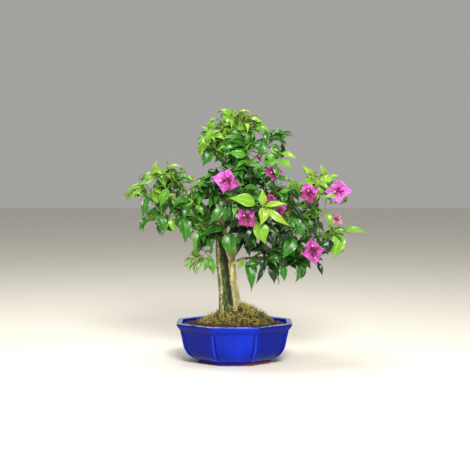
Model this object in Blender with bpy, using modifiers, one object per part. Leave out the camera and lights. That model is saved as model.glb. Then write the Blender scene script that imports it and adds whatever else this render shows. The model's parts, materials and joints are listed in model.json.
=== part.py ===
"""A bougainvillea bonsai in a glazed octagonal pot.

Metres, +Z up. The origin is the middle of the pot's flat underside, and -Y is the front.
The trunk stands on the soil, a bough leaves it or another bough for each mass of foliage, and
each mass grows from its bough's tip by one seeded rule, inside a cell that no other mass shares.
"""

import math
import random
from typing import NamedTuple

import bmesh
import bpy
from mathutils import Matrix, Vector, noise
from mathutils.bvhtree import BVHTree

MM = 0.001
UP = Vector((0, 0, 1))
GOLDEN_ANGLE = math.radians(137.508)

# Clearances between neighbouring pieces, in metres
GAP = 0.3 * MM
LEAF_GAP = 0.6 * MM

# How near two corners left by a cut are to become one
SKIN_WELD = 0.01 * MM
WELD = 0.002 * MM

# Pot, in millimetres: half its width at each height, outside, and the wall inside
POT_SIDES = 8
POT_DEPTH_SHARE = 0.8
POT_OUTSIDE = (
    (106.0, 77.0),
    (107.5, 75.0),
    (106.5, 70.0),
    (102.0, 65.5),
    (98.7, 60.0),
    (95.8, 46.0),
    (92.0, 31.0),
    (84.0, 17.5),
    (73.0, 8.5),
    (66.5, 7.0),
    (66.0, 0.0),
)
POT_INSIDE = ((72.0, 12.0), (84.0, 24.0), (90.0, 46.0), (93.0, 60.0), (98.5, 77.0))
BEAD_RADIUS = 2.2
BEAD_SPAN = (12.0, 60.0)
BEAD_STEPS = 3

# Soil: half its width at each height of its top, from the wall to the flat under the trunk
SOIL_CLEAR = 0.4
SOIL_TOP = ((0.985, 70.0), (0.72, 73.0), (0.48, 78.5), (0.42, 80.0))
SOIL_LEVEL = 80.0

# Moss: a low mound round the trunk's foot
MOSS_CENTRE = (-2.0, 2.0)
MOSS_DEPTH_SHARE = 0.72
MOSS_PROFILE = ((0, 107), (26, 105), (40, 99), (54, 91), (65, 83), (72, 74), (73, 68))
MOSS_STEPS = 16
MOSS_LUMPS = 2.4

# Trunk: height, x, y, radius and how deep its channels are cut, as a share of the radius
TRUNK_STATIONS = (
    (80.3, -6.0, 1.0, 21.0, 0.26),
    (105.0, -8.5, 1.0, 20.6, 0.34),
    (140.0, -12.0, 1.0, 19.4, 0.42),
    (175.0, -15.5, 0.0, 18.6, 0.46),
    (197.0, -17.5, 0.0, 18.4, 0.46),
    (213.0, -20.5, 1.0, 15.4, 0.34),
    (230.0, -24.0, 2.0, 11.6, 0.20),
    (255.0, -23.5, 3.0, 9.6, 0.14),
    (300.0, -14.0, 4.0, 7.8, 0.10),
    (350.0, -2.0, 5.0, 5.6, 0.08),
    (388.0, 6.0, 6.0, 4.0, 0.05),
    (412.0, 9.0, 6.0, 3.0, 0.03),
)
TRUNK_SIDES = 20
TRUNK_RINGS = 18
TRUNK_CHANNELS = ((-93.0, 26.0, 1.0), (78.0, 22.0, 0.5), (178.0, 16.0, 0.3), (-18.0, 14.0, 0.25))
ROOT_FLARE = 6.5
ROOT_FLARE_HEIGHT = 15.0
ROOT_RIDGES = 5

# Boughs: how far into a mass one reaches, as a share of the mass, and how thin its tip gets
BOUGH_ENTRY = 0.55
BOUGH_TAPER = 0.5
BOUGH_THINNEST = 1.3
BOUGH_STEP = 24.0


class Mass(NamedTuple):
    """A mass of foliage, in millimetres, and the bough that carries it."""

    name: str
    centre: tuple
    reach: tuple
    shoots: int
    parent: str = ""
    place: float = 0.0
    girth: float = 0.0
    via: tuple = ()


MASSES = (
    Mass("apex", (8, 5, 447), (58, 48, 32), 6, "trunk", 1.0),
    Mass("top_left", (-34, -8, 412), (42, 46, 44), 4, "trunk", 0.82, 2.6),
    Mass("top_right", (68, 0, 412), (44, 44, 40), 5, "trunk", 0.76, 3.0),
    Mass("top_front", (18, -50, 400), (44, 38, 38), 5, "trunk", 0.80, 2.6),
    Mass("top_back", (16, 60, 400), (52, 46, 44), 4, "trunk", 0.78, 2.8),
    Mass("centre_upper", (20, -64, 354), (44, 38, 32), 4, "trunk", 0.70, 2.4),
    Mass("right_upper", (140, -8, 334), (46, 46, 40), 4, "trunk", 0.33, 9.0,
         ((4, 3, 216), (16, 1, 238), (60, -3, 284))),
    Mass("right_far", (188, 0, 320), (42, 44, 40), 3, "right_upper", 0.80, 2.6),
    Mass("right_mid", (126, -48, 272), (42, 40, 38), 5, "right_upper", 0.55, 3.0),
    Mass("right_tip", (190, -10, 240), (54, 42, 36), 4, "right_upper", 0.42, 3.4, ((110, -8, 250),)),
    Mass("right_back", (118, 80, 290), (60, 54, 52), 4, "right_upper", 0.50, 3.6),
    Mass("centre_low", (40, -68, 252), (40, 38, 40), 5, "right_upper", 0.24, 2.8),
    Mass("right_low", (124, -18, 202), (50, 46, 46), 5, "trunk", 0.27, 3.4,
         ((6, -13, 193), (48, -12, 198))),
    Mass("right_low_inner", (58, -24, 192), (44, 38, 46), 4, "right_low", 0.36, 2.2),
    Mass("right_low_back", (88, 52, 210), (44, 42, 40), 4, "right_low", 0.50, 2.2),
    Mass("left_upper", (-116, 0, 344), (48, 46, 38), 5, "trunk", 0.53, 4.4, ((-60, 0, 296),)),
    Mass("left_tip", (-164, 0, 316), (46, 44, 38), 4, "left_upper", 0.66, 2.8),
    Mass("left_back", (-110, 78, 306), (54, 50, 44), 4, "left_upper", 0.45, 3.0),
    Mass("left_low", (-144, -22, 272), (44, 40, 36), 4, "trunk", 0.46, 3.8, ((-70, -10, 262),)),
    Mass("left_inner", (-84, -46, 290), (40, 40, 44), 4, "left_low", 0.42, 2.4),
    Mass("left_back_low", (-72, 72, 262), (42, 40, 36), 4, "left_back", 0.40, 2.2),
    Mass("left_low_inner", (-54, -36, 250), (38, 36, 36), 4, "trunk", 0.43, 2.4),
    Mass("centre_left", (-40, -60, 318), (38, 40, 42), 5, "trunk", 0.58, 2.6),
    Mass("centre_front", (12, -90, 302), (42, 38, 44), 4, "trunk", 0.54, 2.8),
    Mass("centre_right", (70, -60, 328), (40, 44, 42), 4, "trunk", 0.63, 3.0),
    Mass("back_centre", (-10, 105, 338), (60, 56, 54), 5, "trunk", 0.60, 3.4),
    Mass("back_low", (16, 100, 270), (56, 50, 40), 4, "trunk", 0.49, 3.2),
    Mass("low_sprig", (-66, -6, 192), (38, 24, 28), 4, "trunk", 0.24),
)

# Twigs and leaves, in metres
STEM_RADIUS = 2.0 * MM
TWIG_RADIUS = 1.1 * MM
TWIG_TIP_SHARE = 0.72
TWIG_SEATS = (0.95, 0.8, 0.65, 0.5, 0.35, 0.2)
SEAT_SPACING = 2.6 * MM
LEAF_SPACING = 3.6 * MM
LEAF_LENGTH = 50.0 * MM
LEAF_SPREAD = 0.16
LEAF_WIDTH_SHARE = 0.56
LEAF_WIDEST = 0.42
LEAF_THICK = 1.3 * MM
LEAF_FOLD = 0.13
LEAF_ARCH = 0.10
LEAF_SHRINKS = (1.0,) * 6 + (0.86,) * 5 + (0.72,) * 5
LEAVES_A_SHOOT = 5
FUSE_TRIES = 6
SMALL_LEAVED = {"low_sprig": 0.6}
SHOOT_DEPTH = (0.5, 0.72)
SHOOT_MARGIN = 5.0 * MM
TWIG_LONGEST = 60.0 * MM
REACH_SLACK = 1.15
DROOP = 0.45
FACING_OUT = 1.4
TILT = (25, 105)

# Blossom: the middle of each cluster and where it faces, its turn in degrees and its bracts' length
BRACTS = 3
BRACT_WIDTH_SHARE = 0.76
BRACT_OPENING = math.radians(64)
BLOSSOMS = (
    ((-12, -92, 342), (-0.1, -1.0, 0.1), 20, 29),
    ((21, -108, 278), (0.1, -1.0, -0.1), 60, 25),
    ((69, -66, 359), (0.2, -0.9, 0.2), 0, 21),
    ((136, -56, 320), (0.1, -1.0, 0.0), 95, 24),
    ((186, -34, 321), (0.4, -0.9, 0.2), 30, 29),
    ((142, -66, 215), (0.3, -1.0, 0.1), 75, 29),
    ((194, 12, 273), (0.8, -0.3, 0.3), 10, 15),
    ((-30, 150, 348), (-0.2, 1.0, 0.2), 40, 28),
    ((56, 116, 300), (0.4, 1.0, 0.1), 10, 26),
    ((-128, 112, 322), (-0.6, 0.8, 0.3), 75, 27),
    ((150, 120, 292), (0.7, 0.8, 0.1), 50, 28),
    ((30, 94, 420), (0.1, 0.8, 0.5), 15, 25),
)

# Leaves that mark the crown's outline or stand out in front: foot, tip and width
MARKER_LEAVES = (
    ((4, -6, 456), (-27, -14, 474), 15),
    ((-48, -12, 436), (-39, -20, 462), 15),
    ((-44, -18, 424), (-65, -22, 396), 16),
    ((62, -14, 424), (103, -20, 421), 14),
    ((58, -16, 412), (92, -24, 392), 16),
    ((76, -14, 392), (108, -20, 360), 16),
    ((50, -112, 303), (50, -118, 331), 18),
    ((54, -112, 302), (92, -120, 302), 17),
    ((49, -110, 299), (47, -120, 266), 20),
    ((63, -106, 291), (99, -110, 265), 17),
    ((44, -96, 268), (58, -92, 229), 27),
    ((-8, -104, 322), (32, -116, 297), 28),
    ((-5, -52, 255), (-1, -56, 204), 29),
    ((205, -14, 248), (248, -18, 244), 14),
    ((205, -12, 239), (195, -20, 195), 29),
    ((26, -24, 188), (39, -30, 134), 18),
    ((59, -28, 185), (41, -36, 152), 12),
    ((77, -30, 187), (77, -34, 152), 17),
    ((125, -24, 188), (113, -28, 152), 15),
    ((-93, -52, 271), (-90, -56, 233), 27),
    ((-164, -28, 274), (-176, -34, 251), 14),
    ((-140, -38, 278), (-129, -46, 247), 20),
    ((-165, -8, 328), (-203, -12, 322), 16),
    ((-171, -14, 319), (-201, -18, 304), 14),
    ((-156, 0, 350), (-144, -6, 378), 15),
    ((157, -8, 344), (159, -10, 371), 15),
    ((170, 4, 350), (187, 8, 344), 14),
    ((-70, -6, 187), (-99, -8, 180), 10),
)

LEAF_FACES = ((0, 2, 4), (0, 4, 3), (0, 3, 5), (0, 5, 2), (1, 4, 2), (1, 3, 4), (1, 5, 3), (1, 2, 5))
TWIG_FACES = ((0, 1, 2), (3, 5, 4), (0, 3, 1), (1, 3, 4), (1, 4, 2), (2, 4, 5), (2, 5, 0), (0, 5, 3))


class Leaf(NamedTuple):
    """A blade, in metres: where it starts, its direction, the side that it turns up, and its size."""

    root: Vector
    along: Vector
    facing: Vector
    length: float
    width: float


class Twig(NamedTuple):
    """A straight twig, in metres."""

    start: Vector
    end: Vector
    radius: float


def metres(point):
    return Vector(point) * MM


def clear_scene():
    for obj in list(bpy.data.objects):
        bpy.data.objects.remove(obj, do_unlink=True)


def new_collection(name):
    collection = bpy.data.collections.new(name)
    bpy.context.scene.collection.children.link(collection)
    return collection


def principled(name, colour, roughness):
    material = bpy.data.materials.new(name)
    material.use_nodes = True
    material.diffuse_color = (*colour, 1.0)
    shader = material.node_tree.nodes["Principled BSDF"]
    shader.inputs["Base Color"].default_value = (*colour, 1.0)
    shader.inputs["Roughness"].default_value = roughness
    return material


def mesh_from(bm, name):
    mesh = bpy.data.meshes.new(name)
    bm.to_mesh(mesh)
    bm.free()
    return mesh


def evaluated_mesh(obj):
    graph = bpy.context.evaluated_depsgraph_get()
    return bpy.data.meshes.new_from_object(obj.evaluated_get(graph), depsgraph=graph)


def remove_object(obj):
    data = obj.data
    bpy.data.objects.remove(obj, do_unlink=True)
    if isinstance(data, bpy.types.Mesh):
        bpy.data.meshes.remove(data)
    else:
        bpy.data.curves.remove(data)


def bake_modifiers(obj):
    """The object's own mesh becomes what its modifiers make of it."""
    old = obj.data
    new = evaluated_mesh(obj)
    obj.modifiers.clear()
    obj.data = new
    bpy.data.meshes.remove(old)


def face_volume(face):
    """Six times the signed volume under a face."""
    corners = [vert.co for vert in face.verts]
    pairs = zip(corners[1:-1], corners[2:])
    return sum(corners[0].dot(a.cross(b)) for a, b in pairs)


def keep_largest_shell(mesh):
    """Fills the hollows that fusing sealed and drops loose scraps."""
    bm = bmesh.new()
    bm.from_mesh(mesh)
    unseen = set(bm.faces)
    shells = []
    while unseen:
        shell = [unseen.pop()]
        for face in shell:
            for edge in face.edges:
                if len(edge.link_faces) != 2:
                    continue
                for other in edge.link_faces:
                    if other in unseen:
                        unseen.remove(other)
                        shell.append(other)
        shells.append(shell)
    shells.sort(key=lambda shell: sum(map(face_volume, shell)))
    for shell in shells[:-1]:
        bmesh.ops.delete(bm, geom=shell, context="FACES")
    bm.to_mesh(mesh)
    bm.free()


def boolean(obj, operation, cutters):
    """Cuts or joins a collection of objects with one Boolean, applies it and removes them."""
    group = new_collection("cutters")
    for cutter in cutters:
        group.objects.link(cutter)
    modifier = obj.modifiers.new("boolean", "BOOLEAN")
    modifier.operation = operation
    modifier.operand_type = "COLLECTION"
    modifier.collection = group
    modifier.solver = "EXACT"
    bake_modifiers(obj)
    for cutter in cutters:
        remove_object(cutter)
    bpy.data.collections.remove(group)
    keep_largest_shell(obj.data)


def weld(mesh, dist):
    """Welds a fused mesh and returns the middles of the edges that don't have two faces."""
    bm = bmesh.new()
    bm.from_mesh(mesh)
    bmesh.ops.remove_doubles(bm, verts=bm.verts, dist=dist)
    bmesh.ops.dissolve_degenerate(bm, dist=dist / 2, edges=bm.edges)
    bmesh.ops.triangulate(bm, faces=bm.faces)
    bad = [(e.verts[0].co + e.verts[1].co) / 2 for e in bm.edges if len(e.link_faces) != 2]
    bm.to_mesh(mesh)
    bm.free()
    return bad


def loose(name, mesh):
    """An object in no collection yet, for a Boolean to use."""
    return bpy.data.objects.new(name, mesh)


def turned(name, profile, sides, depth_share=1.0, centre=(0, 0), flats=False):
    """An object turned from a profile of (half width, height) in millimetres, from its inner
    end to its outer underside. With flats, the half widths are to the middle of each side."""
    reach = 1 / math.cos(math.pi / sides) if flats else 1.0
    bm = bmesh.new()
    verts = [bm.verts.new((x * reach * MM, 0, z * MM)) for x, z in profile]
    for pair in zip(verts, verts[1:]):
        bm.edges.new(pair)
    obj = bpy.data.objects.new(name, mesh_from(bm, name))
    bpy.context.scene.collection.objects.link(obj)
    screw = obj.modifiers.new("turn", "SCREW")
    screw.steps = sides
    screw.render_steps = sides
    screw.use_merge_vertices = True
    screw.merge_threshold = 0.01 * MM
    bake_modifiers(obj)
    turn = Matrix.Rotation(math.pi / sides if flats else 0.0, 4, "Z")
    squash = Matrix.Diagonal((1, depth_share, 1, 1))
    shift = Matrix.Translation((centre[0] * MM, centre[1] * MM, 0))
    obj.data.transform(shift @ squash @ turn)
    bpy.context.scene.collection.objects.unlink(obj)
    return obj


def catmull(points, t):
    """The point at t, from 0 to 1, on a smooth curve through the points, spaced by index."""
    last = len(points) - 1
    place = min(max(t, 0.0), 1.0) * last
    i = min(int(place), last - 1)
    f = place - i
    a, b, c, d = (points[min(max(k, 0), last)] for k in (i - 1, i, i + 1, i + 2))
    return 0.5 * (
        2 * b + (c - a) * f + (2 * a - 5 * b + 4 * c - d) * f**2 + (3 * b - a - 3 * c + d) * f**3
    )


def tube(name, path, radii):
    """A closed six-sided tube along a path, as a mesh object in no collection."""
    curve = bpy.data.curves.new(name, "CURVE")
    curve.dimensions = "3D"
    curve.bevel_depth = MM
    curve.bevel_resolution = 1
    curve.use_fill_caps = True
    spline = curve.splines.new("POLY")
    spline.points.add(len(path) - 1)
    for point, place, radius in zip(spline.points, path, radii):
        point.co = (*place, 1)
        point.radius = radius / MM
    source = bpy.data.objects.new(name, curve)
    bpy.context.scene.collection.objects.link(source)
    mesh = evaluated_mesh(source)
    remove_object(source)
    bm = bmesh.new()
    bm.from_mesh(mesh)
    bmesh.ops.remove_doubles(bm, verts=bm.verts, dist=0.001 * MM)
    bm.to_mesh(mesh)
    bm.free()
    return loose(name, mesh)


def pot_corner(k, half_width, height):
    """A corner of the pot's octagon, counted round from the right-hand end."""
    angle = math.radians(22.5 + 45 * k)
    reach = half_width / math.cos(math.radians(22.5))
    return metres((reach * math.cos(angle), reach * POT_DEPTH_SHARE * math.sin(angle), height))


def half_width_at(height):
    """The pot's half width outside, at a height under its lip."""
    for (upper, top), (lower, bottom) in zip(POT_OUTSIDE[1:], POT_OUTSIDE[2:]):
        if bottom <= height <= top:
            return lower + (upper - lower) * (height - bottom) / (top - bottom)
    return POT_OUTSIDE[-1][0]


def make_pot(collection, material):
    floor = POT_INSIDE[0][1]
    profile = ((0, floor), *POT_INSIDE, *POT_OUTSIDE, (0, 0))
    pot = turned("pot", profile, POT_SIDES, POT_DEPTH_SHARE, flats=True)
    collection.objects.link(pot)
    low, high = BEAD_SPAN
    heights = [low + (high - low) * i / BEAD_STEPS for i in range(BEAD_STEPS + 1)]
    beads = []
    for k in range(POT_SIDES):
        path = [pot_corner(k, half_width_at(z) - 0.4 * BEAD_RADIUS, z) for z in heights]
        beads.append(tube("bead", path, [BEAD_RADIUS * MM] * len(path)))
    boolean(pot, "UNION", beads)
    weld(pot.data, SKIN_WELD)
    pot.data.materials.append(material)


def soil_body(lift):
    """The soil, raised by a little for cutting what lies on it. Its sides keep clear of the pot."""
    rim_width = POT_INSIDE[-1][0]
    top = [(share * rim_width, z + lift) for share, z in reversed(SOIL_TOP)]
    level = SOIL_TOP[0][1]
    (under, low), (over, high) = POT_INSIDE[-2:]
    at_level = under + (over - under) * (level - low) / (high - low)
    top[-1] = (at_level - SOIL_CLEAR, level + lift)
    wall = [(x - SOIL_CLEAR, z + 0.3) for x, z in reversed(POT_INSIDE[:-1])]
    profile = [(0, SOIL_LEVEL + lift), *top, *wall, (0, POT_INSIDE[0][1] + 0.3)]
    return turned("soil", profile, POT_SIDES, POT_DEPTH_SHARE, flats=True)


def trunk_centre(t):
    """Height, x, y, radius and channel depth at a place from 0 to 1 along the trunk."""
    columns = zip(*TRUNK_STATIONS)
    return [catmull(column, t) for column in columns]


def trunk_ring(t, swell):
    """The corners of the trunk's section: round, cut by channels, and ridged at its foot."""
    height, x, y, radius, depth = trunk_centre(t)
    foot = math.exp(-(height - TRUNK_STATIONS[0][0]) / ROOT_FLARE_HEIGHT)
    corners = []
    for k in range(TRUNK_SIDES):
        angle = 2 * math.pi * k / TRUNK_SIDES
        cut = 0.0
        for middle, spread, share in TRUNK_CHANNELS:
            off = (math.degrees(angle) - middle + 180) % 360 - 180
            cut += share * math.exp(-((off / spread) ** 2))
        ridge = 1 + 0.45 * math.cos(ROOT_RIDGES * angle + 0.6)
        reach = radius * (1 - depth * cut) + ROOT_FLARE * foot * ridge + swell
        corners.append(metres((x + reach * math.cos(angle), y + reach * math.sin(angle), height)))
    return corners


def trunk_body(swell=0.0):
    """The trunk as a loft between its rings, or the same grown by a swell in millimetres."""
    bm = bmesh.new()
    sections = [trunk_ring(i / TRUNK_RINGS, swell) for i in range(TRUNK_RINGS + 1)]
    if swell:
        sections.insert(0, [corner - UP * 2 * MM for corner in sections[0]])
        sections.append([corner + UP * swell * MM for corner in sections[-1]])
    rings = [[bm.verts.new(corner) for corner in section] for section in sections]
    for low, high in zip(rings, rings[1:]):
        for k in range(TRUNK_SIDES):
            n = (k + 1) % TRUNK_SIDES
            bm.faces.new((low[k], low[n], high[n]))
            bm.faces.new((low[k], high[n], high[k]))
    bm.faces.new(reversed(rings[0]))
    bm.faces.new(rings[-1])
    return loose("trunk", mesh_from(bm, "trunk"))


def make_moss(collection, material):
    """A lumpy mound, cut to sit on the soil and round the trunk."""
    profile = [*MOSS_PROFILE, (0, MOSS_PROFILE[-1][1])]
    moss = turned("moss", profile, MOSS_STEPS, MOSS_DEPTH_SHARE, MOSS_CENTRE)
    for vert in moss.data.vertices:
        if vert.co.z > MOSS_PROFILE[-1][1] * MM + MM:
            lump = noise.noise(vert.co * 45) + 0.5 * noise.noise(vert.co * 110)
            vert.co.z += MOSS_LUMPS * MM * lump
    collection.objects.link(moss)
    boolean(moss, "DIFFERENCE", [soil_body(GAP / MM), trunk_body(0.4)])
    weld(moss.data, SKIN_WELD)
    moss.data.materials.append(material)


def trunk_path():
    """The trunk's own middle line and radii, for the boughs that leave it."""
    stations = [trunk_centre(i / TRUNK_RINGS) for i in range(TRUNK_RINGS + 1)]
    path = [metres((x, y, height)) for height, x, y, _, _ in stations]
    return path, [radius * MM for _, _, _, radius, _ in stations]


def along(path, place):
    """The point at a share of a path's length."""
    lengths = [(b - a).length for a, b in zip(path, path[1:])]
    left = place * sum(lengths)
    for a, b, length in zip(path, path[1:], lengths):
        if left <= length:
            return a.lerp(b, left / length)
        left -= length
    return path[-1].copy()


def bough_path(mass, parent):
    """A bough's middle line, from inside its parent to just inside its mass."""
    start = along(parent, mass.place)
    stops = [start, *map(metres, mass.via)]
    centre = metres(mass.centre)
    back = stops[-1] - centre
    share = Vector(b / (r * MM) for b, r in zip(back, mass.reach)).length
    stops.append(centre + back * min(BOUGH_ENTRY / share, 0.9))
    if len(stops) == 2:
        run = stops[1] - stops[0]
        stops.insert(1, stops[0] + run * 0.5 + UP * 0.08 * run.length)
    span = sum((b - a).length for a, b in zip(stops, stops[1:]))
    steps = max(2, round(span / (BOUGH_STEP * MM)))
    return [catmull(stops, i / steps) for i in range(steps + 1)]


def bough_radii(mass, count):
    tip = max(mass.girth * BOUGH_TAPER, BOUGH_THINNEST)
    return [(mass.girth + (tip - mass.girth) * i / (count - 1)) * MM for i in range(count)]


def swollen(radii, swell):
    return [radius + swell for radius in radii]


def tree_of(obj):
    polygons = [tuple(face.vertices) for face in obj.data.polygons]
    return BVHTree.FromPolygons([v.co for v in obj.data.vertices], polygons)


def make_boughs(collection, material):
    """The boughs, each cut clear of those before it, with their paths and their skins."""
    paths = {"trunk": trunk_path()[0]}
    skins = [tree_of(trunk_body(LEAF_GAP / MM))]
    growers = [lambda: trunk_body(0.4)]
    for mass in MASSES:
        if not mass.girth:
            continue
        path = bough_path(mass, paths[mass.parent])
        radii = bough_radii(mass, len(path))
        paths[mass.name] = path
        bough = tube(f"{mass.name}_bough", path, radii)
        collection.objects.link(bough)
        own = tree_of(bough)
        cutters = [body for body in (grow() for grow in growers) if own.overlap(tree_of(body))]
        boolean(bough, "DIFFERENCE", cutters)
        weld(bough.data, SKIN_WELD)
        bough.data.materials.append(material)
        bough.data.name = bough.name
        grown = swollen(radii, 0.4 * MM)
        growers.append(lambda path=path, grown=grown: tube("skin", path, grown))
        skins.append(tree_of(tube("skin", path, swollen(radii, LEAF_GAP))))
    return paths, skins


def power(point, mass):
    """How far outside a mass's own sphere a point is, as a power of the point."""
    size = sum(mass.reach) / 3 * MM
    return (point - metres(mass.centre)).length_squared - size**2


def cell_margin(point, mass):
    """How far inside its mass's cell a point is. It is below zero in another mass's cell."""
    own = power(point, mass)
    centre = metres(mass.centre)
    margins = []
    for other in MASSES:
        if other is not mass:
            apart = (metres(other.centre) - centre).length
            margins.append((power(point, other) - own) / (2 * apart))
    return min(margins)


def within_reach(point, mass):
    off = point - metres(mass.centre)
    return Vector(o / (r * MM) for o, r in zip(off, mass.reach)).length <= REACH_SLACK


def leaf_points(leaf, grow=0.0, skip=0.0):
    """A blade's foot, tip, left and right edge, and the top and underside of its midrib."""
    length = leaf.length + grow
    width = leaf.width + 2 * grow
    thick = LEAF_THICK + 2 * grow
    side = leaf.along.cross(leaf.facing).normalized()
    up = side.cross(leaf.along).normalized()
    middle = leaf.root + leaf.along * length * LEAF_WIDEST + up * length * LEAF_ARCH
    edge = middle + up * width * LEAF_FOLD
    foot = leaf.root.lerp(middle, skip)
    tip = leaf.root + leaf.along * length
    half = side * width / 2
    return [foot, tip, edge - half, edge + half, middle + up * thick / 2, middle - up * thick / 2]


def twig_points(twig, grow=0.0):
    run = (twig.end - twig.start).normalized()
    side = run.orthogonal().normalized()
    other = run.cross(side)
    points = []
    for place, radius in ((twig.start, twig.radius), (twig.end, twig.radius * TWIG_TIP_SHARE)):
        for k in range(3):
            angle = 2 * math.pi * k / 3
            spoke = side * math.cos(angle) + other * math.sin(angle)
            points.append(place + spoke * (radius + grow))
    return points


def touches(points, faces, trees):
    own = BVHTree.FromPolygons(points, faces)
    return any(own.overlap(tree) for tree in trees)


def leaf_mesh(leaf):
    """A flattened ball of eight faces, drawn out into a folded blade."""
    bm = bmesh.new()
    bmesh.ops.create_uvsphere(bm, u_segments=4, v_segments=2, radius=1)
    foot, tip, left, right, over, under = leaf_points(leaf)
    for vert in bm.verts:
        x, y, z = vert.co
        if abs(z) > 0.5:
            vert.co = tip if z > 0 else foot
        elif abs(x) > 0.5:
            vert.co = left if x > 0 else right
        else:
            vert.co = over if y > 0 else under
    return mesh_from(bm, "leaf")


def twig_mesh(twig):
    bm = bmesh.new()
    run = twig.end - twig.start
    bmesh.ops.create_cone(
        bm,
        cap_ends=True,
        segments=3,
        radius1=twig.radius,
        radius2=twig.radius * TWIG_TIP_SHARE,
        depth=run.length,
    )
    turn = run.to_track_quat("Z", "Y").to_matrix().to_4x4()
    place = Matrix.Translation((twig.start + twig.end) / 2)
    bmesh.ops.transform(bm, verts=bm.verts, matrix=place @ turn)
    return mesh_from(bm, "twig")


def facing_of(direction, point):
    """The side that a blade turns to the light: up, and outwards from the crown's middle."""
    outward = Vector((point.x, point.y, 0))
    if outward.length:
        outward.normalize()
    facing = UP + FACING_OUT * outward
    if facing.cross(direction).length < 0.1:
        facing = facing + outward.orthogonal()
    return facing.normalized()


def leaf_to(root, tip, width):
    """A blade that ends at a given tip."""
    direction = (tip - root).normalized()
    return Leaf(root, direction, facing_of(direction, root), (tip - root).length, width)


def owner_of(point):
    return max(MASSES, key=lambda mass: cell_margin(point, mass))


class Growth:
    """One mass while it grows: its twigs, its blades and the seats that are taken on the twigs."""

    def __init__(self, mass, paths):
        self.mass = mass
        path = paths[mass.name] if mass.girth else paths[mass.parent]
        centre = metres(mass.centre)
        if mass.girth or mass.place == 1.0:
            start = path[-1] + (path[-1] - path[-2]).normalized() * GAP
        else:
            start = beside_trunk(along(path, mass.place), centre)
        self.twigs = [Twig(start, centre, STEM_RADIUS)]
        self.taken = []
        self.blades = []

    def is_free(self, seat):
        return all((seat - other).length > SEAT_SPACING for other in self.taken)

    def attach(self, point, trees):
        """Adds a twig to the point from the nearest free seat with a clear way, if there is one."""
        seats = [twig.start.lerp(twig.end, share) for twig in self.twigs for share in TWIG_SEATS]
        for seat in sorted(seats, key=lambda seat: (seat - point).length):
            run = point - seat
            if run.length > TWIG_LONGEST:
                break
            if run.length < SEAT_SPACING or not self.is_free(seat):
                continue
            twig = Twig(seat, point + run.normalized() * 0.5 * MM, TWIG_RADIUS)
            if not touches(twig_points(twig), TWIG_FACES, trees):
                self.twigs.append(twig)
                self.taken.append(seat)
                return twig
        return None


def beside_trunk(start, towards):
    """Where a stem starts that leaves the trunk itself, just clear of its side."""
    away = (towards - start).normalized()
    side = away.orthogonal().normalized()
    other = away.cross(side)
    trunk = tree_of(trunk_body())
    reaches = []
    for k in range(6):
        angle = math.pi * k / 3
        spoke = (side * math.cos(angle) + other * math.sin(angle)) * STEM_RADIUS
        hit = trunk.ray_cast(towards + spoke, -away)[0]
        reaches.append((hit - start).dot(away))
    return start + away * (max(reaches) + GAP)


def shoot_points(mass, rng):
    """Where the shoots of a mass end: spread evenly over it, drawn in to stay in its cell."""
    centre = metres(mass.centre)
    points = []
    spin = rng.uniform(0, 2 * math.pi)
    for k in range(mass.shoots):
        height = 1 - 2 * (k + 0.5) / mass.shoots
        angle = spin + k * GOLDEN_ANGLE
        flat = math.sqrt(1 - height**2)
        spoke = Vector((flat * math.cos(angle), flat * math.sin(angle), height))
        depth = rng.uniform(*SHOOT_DEPTH)
        for share in (1.0, 0.8, 0.6, 0.45):
            point = centre + Vector(s * r * MM for s, r in zip(spoke, mass.reach)) * depth * share
            if cell_margin(point, mass) > SHOOT_MARGIN:
                points.append(point)
                break
    return sorted(points, key=lambda point: (point - centre).length)


def grow_leaves(growth, twig, rng, trees):
    """Blades set round a shoot by the golden angle, each kept in the mass's own space."""
    mass = growth.mass
    run = (twig.end - twig.start).normalized()
    room = (twig.end - twig.start).length * 0.85
    outward = (twig.end - metres(mass.centre)).normalized()
    axis = (run + outward).normalized()
    side = axis.orthogonal().normalized()
    other = axis.cross(side)
    spin = rng.uniform(0, 2 * math.pi)
    scale = SMALL_LEAVED.get(mass.name, 1.0)
    for k in range(LEAVES_A_SHOOT):
        back = 1.0 * MM + LEAF_SPACING * k
        root = twig.end - run * back
        if back > room or not growth.is_free(root):
            continue
        for attempt, shrink in enumerate(LEAF_SHRINKS):
            tilt = math.radians(rng.uniform(*TILT))
            length = LEAF_LENGTH * scale * shrink * rng.uniform(1 - LEAF_SPREAD, 1 + LEAF_SPREAD)
            droop = UP * DROOP * rng.uniform(0.5, 1.3)
            angle = spin + (k + 3 * attempt) * GOLDEN_ANGLE
            spoke = side * math.cos(angle) + other * math.sin(angle)
            direction = (axis * math.cos(tilt) + spoke * math.sin(tilt) - droop).normalized()
            facing = facing_of(direction, root)
            leaf = Leaf(root, direction, facing, length, length * LEAF_WIDTH_SHARE)
            if fits(leaf, growth, trees):
                growth.blades.append(leaf)
                growth.taken.append(root)
                trees.append(BVHTree.FromPolygons(leaf_points(leaf, skip=0.2), LEAF_FACES))
                break


def fits(leaf, growth, trees):
    """Whether a blade stays in its mass's own space and clear of limbs, twigs and other blades."""
    mass = growth.mass
    points = leaf_points(leaf)
    if not all(within_reach(p, mass) and cell_margin(p, mass) > LEAF_GAP for p in points):
        return False
    twigs = [BVHTree.FromPolygons(twig_points(twig), TWIG_FACES) for twig in growth.twigs]
    return not touches(leaf_points(leaf, skip=0.3), LEAF_FACES, [*trees, *twigs])


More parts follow.
